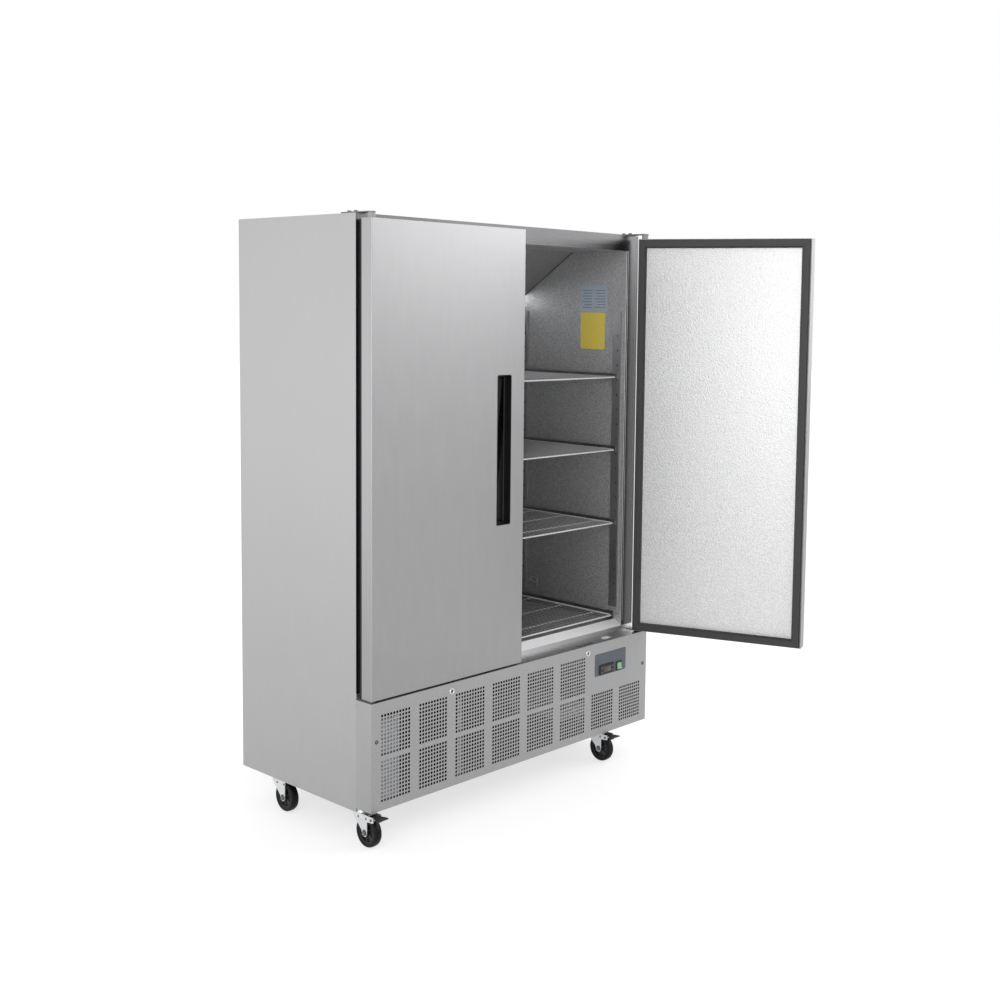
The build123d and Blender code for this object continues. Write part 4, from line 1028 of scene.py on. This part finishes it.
def make_fork(place, x, y, braked):
    """The pressed fork: a bridge and two tapered legs under a ball race."""
    axle_y = y - TRAIL
    toe = axle_y - 13.0
    leg = [
        (y + 20.0, 108.4), (y + 20.0, 97.0), (axle_y + 15.0, 57.0), (axle_y + 10.0, 41.0),
        (axle_y, 37.0), (axle_y - 10.0, 41.0), (toe, 52.0), (toe, 88.0),
    ]
    if braked:
        leg += [(y - 77.0, 90.5), (y - 79.0, 100.0), (y - 77.0, 108.4)]
    else:
        leg += [(toe, 108.4)]
    bm = bmesh.new()
    for side in (-1, 1):
        points = [(x + side * FORK_INSIDE, *point) for point in leg]
        add_plate(bm, points, (side * FORK_SHEET, 0, 0))
    add_block(bm, (x - 17.0, toe, 105.0), (x + 17.0, y + 20.0, 108.4), 0.8, 2)
    face_out(bm)
    add_lathe(
        bm,
        (
            (6.2, 107.0), (20.4, 107.0), (20.8, 110.0), (19.0, 114.0), (20.0, 116.0),
            (20.6, 118.0), (19.6, 118.7), (6.2, 118.7), (6.2, 107.0),
        ),
        (x, y, 0), (0, 0, 1), 40,
    )
    finish_at(place, "pressed_fork", bm, bright_zinc, "caster", "zinc_plate", "fork", 30.0)


def make_fork_bolts(place, x, y, braked):
    """The axle with a washer and a nut at each end, and the heads of the leg's rivets."""
    axle_y = y - TRAIL
    outside = FORK_INSIDE + FORK_SHEET
    heads = [
        (axle_y, WHEEL_RADIUS, 0.0, 1.0, 10.2, 24), (axle_y, WHEEL_RADIUS, 0.8, 3.8, 7.0, 6),
        (y - 6.0, 96.0, 0.0, 0.8, 3.6, 16), (y - 44.0, 97.0, 0.0, 0.8, 3.6, 16),
    ]
    if braked:
        heads += [(y - 68.0, 98.0, 0.0, 1.6, 4.4, 16)]
    bm = bmesh.new()
    for end in (-1, 1):
        for head_y, z, near, far, radius, sides in heads:
            near_x, far_x = (x + end * (outside + reach) for reach in (near, far))
            add_rod(bm, (near_x, head_y, z), (far_x, head_y, z), radius, sides)
    add_rod(bm, (x - 16.5, axle_y, WHEEL_RADIUS), (x + 16.5, axle_y, WHEEL_RADIUS), 6.0, 24)
    finish_at(place, "fork_bolts", bm, dull_zinc, "caster", "zinc_plate", "fork", 30.0)


def make_pedal(place, x, y):
    """The brake lever: a thin pressed tread with a turned-up toe, and its cam."""
    half = ((15.0, 62.0), (15.0, 82.0), (20.0, 92.0), (21.0, 104.0), (15.0, 114.6))
    outline = [(x - across, y - along, TREAD_LEVEL) for across, along in half]
    outline += [(x + across, y - along, TREAD_LEVEL) for across, along in reversed(half)]
    bm = bmesh.new()
    add_plate(bm, outline, (0, 0, 1.2))
    for vert in bm.verts:
        if vert.co.y < y - 103.0:
            vert.co.z += 0.16 * (y - 103.0 - vert.co.y)
    for number in range(3):
        low = y - 101.0 + number * 6.0
        add_block(bm, (x - 14.0, low, 105.8), (x + 14.0, low + 2.0, 107.0), 0.4, 1)
    add_rod(bm, (x - 8.0, y - 85.0, 95.6), (x + 8.0, y - 85.0, 95.6), 5.4, 20)
    add_block(bm, (x - 7.0, y - 85.0, 94.0), (x + 7.0, y - 70.0, 99.0), 1.4, 2)
    face_out(bm)
    finish_at(place, "brake_lever", bm, black_plastic, "brake", "black_plastic", "pedal", 35.0)
    bm = bmesh.new()
    add_rod(bm, (x - 15.4, y - 68.0, 98.0), (x + 15.4, y - 68.0, 98.0), 4.7, 20)
    add_block(bm, (x - 13.0, y - 79.0, 97.0), (x + 13.0, y - 66.0, 104.5), 1.0, 2)
    finish_at(place, "brake_cam", bm, bright_zinc, "brake", "zinc_plate", "pedal", 35.0)


def make_caster_heads():
    """The four round top races with their kingpins."""
    bm = bmesh.new()
    for x, y in CASTERS.values():
        add_lathe(
            bm,
            (
                (0.0, 126.0), (21.6, 126.0), (22.0, 124.8), (22.0, 120.4), (21.2, 119.0),
                (6.0, 119.0), (6.0, 104.7), (9.6, 104.7), (9.6, 102.6), (7.6, 101.7), (0.0, 101.7),
            ),
            (x, y, 0), (0, 0, 1), 36,
        )
    finish_piece("head_plates", bm, bright_zinc, "cabinet", "zinc_plate", ("caster_heads",))


# Shelves


def make_shelves(side, word):
    """Welded wire shelves: a rounded frame, cross wires and thin wires front to back."""
    low_x, high_x = sorted(side * edge for edge in SHELF_ACROSS)
    left, right = low_x + FRAME_WIRE, high_x - FRAME_WIRE
    near, far = SHELF_FRONT + FRAME_WIRE, SHELF_BACK - FRAME_WIRE
    bend = FRAME_BEND
    runs = (
        ((left + bend, near), (right - bend, near)), ((left + bend, far), (right - bend, far)),
        ((left, near + bend), (left, far - bend)), ((right, near + bend), (right, far - bend)),
    )
    corners = (
        (left + bend, near + bend, pi), (right - bend, near + bend, 1.5 * pi),
        (right - bend, far - bend, 0.0), (left + bend, far - bend, 0.5 * pi),
    )
    pitch = (high_x - low_x - 4 * FRAME_WIRE) / (THIN_WIRES + 1)
    bm = bmesh.new()
    wires = bmesh.new()
    for level in SHELF_LEVELS:
        for start, end in runs:
            add_rod(bm, (*start, level), (*end, level), FRAME_WIRE)
        for x, y, start in corners:
            ring = bmesh.ops.create_circle(bm, segments=8, radius=FRAME_WIRE)["verts"]
            turn(bm, ring, pi / 2, "X")
            bmesh.ops.translate(bm, vec=(bend, 0, 0), verts=ring)
            turn(bm, ring, start, "Z")
            edges = each_once(edge for vert in ring for edge in vert.link_edges)
            spin_round(bm, ring + edges, pi / 2, 5, False)
            bmesh.ops.translate(bm, vec=(x, y, level), verts=connected(ring))
        for share in CROSS_WIRES:
            y = SHELF_FRONT + share * (SHELF_BACK - SHELF_FRONT)
            z = level + CROSS_WIRE - FRAME_WIRE
            add_rod(bm, (left, y, z), (right, y, z), CROSS_WIRE)
        for number in range(THIN_WIRES):
            x = (left + right) / 2 + (number - (THIN_WIRES - 1) / 2) * pitch
            z = level + 3.4
            add_rod(wires, (x, near - 2.0, z), (x, far + 2.0, z), THIN_WIRE, 6)
    face_out(bm)
    rides_as = ("cabinet", "shelf_wire", (f"shelves_{word}",), 50.0)
    finish_piece(f"shelf_frames_{word}", bm, wire_coat, *rides_as)
    finish_piece(f"shelf_wires_{word}", wires, thin_wire_coat, *rides_as)


# Labels, bare


def make_wall_card(name, y0, y1, z0, z1, finish):
    """A thin card with rounded corners on the right-hand wall."""
    bm = bmesh.new()
    add_block(bm, (607.2, y0, z0), (607.9, y1, z1))
    round_off(bm, [e for e in bm.edges if not same(e.verts[0].co.x, e.verts[1].co.x)], 4.0, 3)
    finish_piece(name, bm, finish, "cabinet", "white_plastic")


def make_ruled_table():
    """Plain ruled bars printed on the rating plate, standing for nothing."""
    bm = bmesh.new()
    for row in range(7):
        z = 1776.0 - row * 11.0
        add_block(bm, (606.9, 106.0, z), (607.3, 160.0 - 6.0 * (row % 3), z + 2.4))
        add_block(bm, (606.9, 176.0, z), (607.3, 224.0 - 9.0 * (row % 2), z + 2.4))
    finish_piece("plate_rules", bm, ruled_ink, "cabinet", "white_plastic")


# Carried-over nodes and their finishes

for finish, *names in (
    (shade_darkened_zinc, "base_pan"),
    (back_zinc, "rear_wrap"),
    (spangled_zinc, "condenser_frame"),
    (side_steel, "side_panels"),
    (frame_steel, "front_frame"),
    (door_steel, "door_skin_left", "door_skin_right"),
    (foam_plastic, "insulation", "door_foam_left", "door_foam_right"),
    (lining_metal, "lining", "evaporator_cover"),
    (case_plastic, "thermostat", "rocker_case"),
    (green_plastic, "rocker"),
    (key_plastic, "button_set", "button_defrost", "button_up", "button_down"),
    (slate_film, "control_plate"),
    (dull_zinc, "lock_plug_left", "lock_plug_right"),
    (grey_plate, "hinge_plates"),
    (bush_plastic, "hinge_bushes"),
    (strip_steel, "uprights"),
    (rail_steel, "shelf_rails"),
    (black_plastic, "cold_fan_rings", "cold_fan_left", "cold_fan_right"),
    (fin_metal, "condenser_fan", "evaporator_coil"),
    (black_enamel, "rear_guard", "condenser", "compressor"),
    (copper, "refrigerant_pipes"),
    (white_plastic, "evaporating_tray"),
    (lamp_glow, "interior_lamp"),
):
    for name in names:
        node = nodes[name]
        if not node.data.materials:
            node.data.materials.append(finish)
        for material_slot in node.material_slots:
            material_slot.material = finish

make_lower_panel()
for side, word in ((-1, "left"), (1, "right")):
    make_gasket(side, word)
    make_door_lining(side, word)
    make_pull(side, word)
    make_shelves(side, word)
make_opening_trim()
make_edge_trims()
make_slot_shade_sheets()
make_light_strips()
make_wall_clip()
make_cover_seals()
make_hinge_bolts()
make_panel_screws()
make_lock_noses()
make_display()
make_ramp()
make_caster_heads()
for place, (x, y) in CASTERS.items():
    braked = place.startswith("front")
    make_wheel(place, x, y)
    make_fork(place, x, y, braked)
    make_fork_bolts(place, x, y, braked)
    if braked:
        make_pedal(place, x, y)
make_wall_card("rating_plate", 97.0, 236.0, 1694.5, 1796.5, plate_film)
make_wall_card("yellow_label", 108.0, 232.0, 1551.0, 1692.0, yellow_card)
make_ruled_table()


# Floor, lights and camera

WHITE = (1, 1, 1, 1)
FLOOR_GREY = (0.92, 0.92, 0.92, 1)
SHADOW_REACH = (0.9, 2.0)
NEAR_WHITE = 0.6
FLOOR_WHITE = 1.15
AMBIENT = 0.45
FLOOR_HALF = 30.0
BELOW_WHEELS = -0.0005


def seen_rays(tree):
    """One for rays from the camera, off a glossy surface or through glass, else nought."""
    path = tree.nodes.new("ShaderNodeLightPath").outputs
    seen = math_node(tree, "MAXIMUM", path["Is Camera Ray"], path["Is Glossy Ray"])
    return math_node(tree, "MAXIMUM", seen, path["Is Transmission Ray"])


def lit_by(tree, kind, strength):
    """A white emission or background shader."""
    node = tree.nodes.new(kind)
    node.inputs["Color"].default_value = WHITE
    node.inputs["Strength"].default_value = strength
    return node.outputs[0]


def blend_shaders(tree, share, first, second, output):
    """Mix two shaders into the surface of an output node."""
    mixer = tree.nodes.new("ShaderNodeMixShader")
    for value, socket in zip((share, first, second), mixer.inputs):
        tree.links.new(value, socket)
    tree.links.new(mixer.outputs["Shader"], tree.nodes[output].inputs["Surface"])


def floor_surface():
    """A pale floor that keeps the shadow near the freezer and runs out into plain white."""
    material, tree, shader = new_finish("pale floor", 0.9)
    shader.inputs["Base Color"].default_value = FLOOR_GREY
    distance = tree.nodes.new("ShaderNodeVectorMath")
    distance.operation = "LENGTH"
    tree.links.new(object_coordinates(tree), distance.inputs[0])
    reach = tree.nodes.new("ShaderNodeMapRange")
    reach.interpolation_type = "SMOOTHSTEP"
    reach.inputs["From Min"].default_value = SHADOW_REACH[0]
    reach.inputs["From Max"].default_value = SHADOW_REACH[1]
    reach.inputs["To Min"].default_value = NEAR_WHITE
    tree.links.new(distance.outputs["Value"], reach.inputs["Value"])
    blend_shaders(
        tree, math_node(tree, "MULTIPLY", seen_rays(tree), reach.outputs["Result"]),
        shader.outputs["BSDF"], lit_by(tree, "ShaderNodeEmission", FLOOR_WHITE),
        "Material Output",
    )
    return material


bm = bmesh.new()
bmesh.ops.create_grid(bm, x_segments=1, y_segments=1, size=FLOOR_HALF)
floor_mesh = bpy.data.meshes.new("floor")
bm.to_mesh(floor_mesh)
bm.free()
floor_mesh.materials.append(floor_surface())
floor = bpy.data.objects.new("floor", floor_mesh)
bpy.context.scene.collection.objects.link(floor)
floor.location = (0, 0, BELOW_WHEELS)

world = bpy.data.worlds.new("studio")
bpy.context.scene.world = world
world.use_nodes = True
blend_shaders(
    world.node_tree, seen_rays(world.node_tree),
    lit_by(world.node_tree, "ShaderNodeBackground", AMBIENT),
    lit_by(world.node_tree, "ShaderNodeBackground", 1.0), "World Output",
)


def soft_light(name, place, target, size, watts):
    """A large square lamp aimed at a point."""
    data = bpy.data.lights.new(name, "AREA")
    data.shape = "SQUARE"
    data.size = size
    data.energy = watts
    lamp = bpy.data.objects.new(name, data)
    lamp.location = place
    aim = Vector(target) - Vector(place)
    lamp.rotation_euler = aim.to_track_quat("-Z", "Y").to_euler()
    bpy.context.scene.collection.objects.link(lamp)


soft_light("key", (-4.2, -2.8, 2.5), (-0.1, 0.0, 1.0), 4.4, 175)
soft_light("left", (-4.3, 3.3, 1.3), (-0.67, 0.3, 1.0), 3.4, 32)
soft_light("front right", (4.1, -3.4, 3.9), (-0.2, 0.0, 1.5), 4.0, 184)
soft_light("right", (4.6, 1.4, 3.0), (0.5, 0.3, 1.0), 4.0, 78)
soft_light("rear", (0.6, 5.0, 4.0), (0.0, 0.2, 1.0), 4.4, 100)

FRAME_PIXELS = 1000.0
FOCAL_PIXELS = 1311.71
CENTRE_PIXELS = (603.16, 425.93)
SENSOR = 36.0

camera_data = bpy.data.cameras.new("camera")
camera_data.sensor_width = SENSOR
camera_data.lens = FOCAL_PIXELS * SENSOR / FRAME_PIXELS
camera_data.shift_x = (FRAME_PIXELS / 2 - CENTRE_PIXELS[0]) / FRAME_PIXELS
camera_data.shift_y = (CENTRE_PIXELS[1] - FRAME_PIXELS / 2) / FRAME_PIXELS
camera_data.clip_end = 60.0
camera = bpy.data.objects.new("camera", camera_data)
yaw, pitch, roll = radians(48.75), radians(-5.05), radians(0.91)
ahead = Vector((sin(yaw) * cos(pitch), cos(yaw) * cos(pitch), sin(pitch)))
level = Vector((cos(yaw), -sin(yaw), 0.0))
above = level.cross(ahead)
right = level * cos(roll) + above * sin(roll)
up = above * cos(roll) - level * sin(roll)
camera.matrix_world = Matrix.Translation(
    Vector((-3.19082, -3.22285, 1.70208)) + CABINET_PLACE
) @ Matrix((right, up, -ahead)).transposed().to_4x4()
bpy.context.scene.collection.objects.link(camera)
bpy.context.scene.camera = camera
bpy.context.scene.view_settings.view_transform = "Standard"
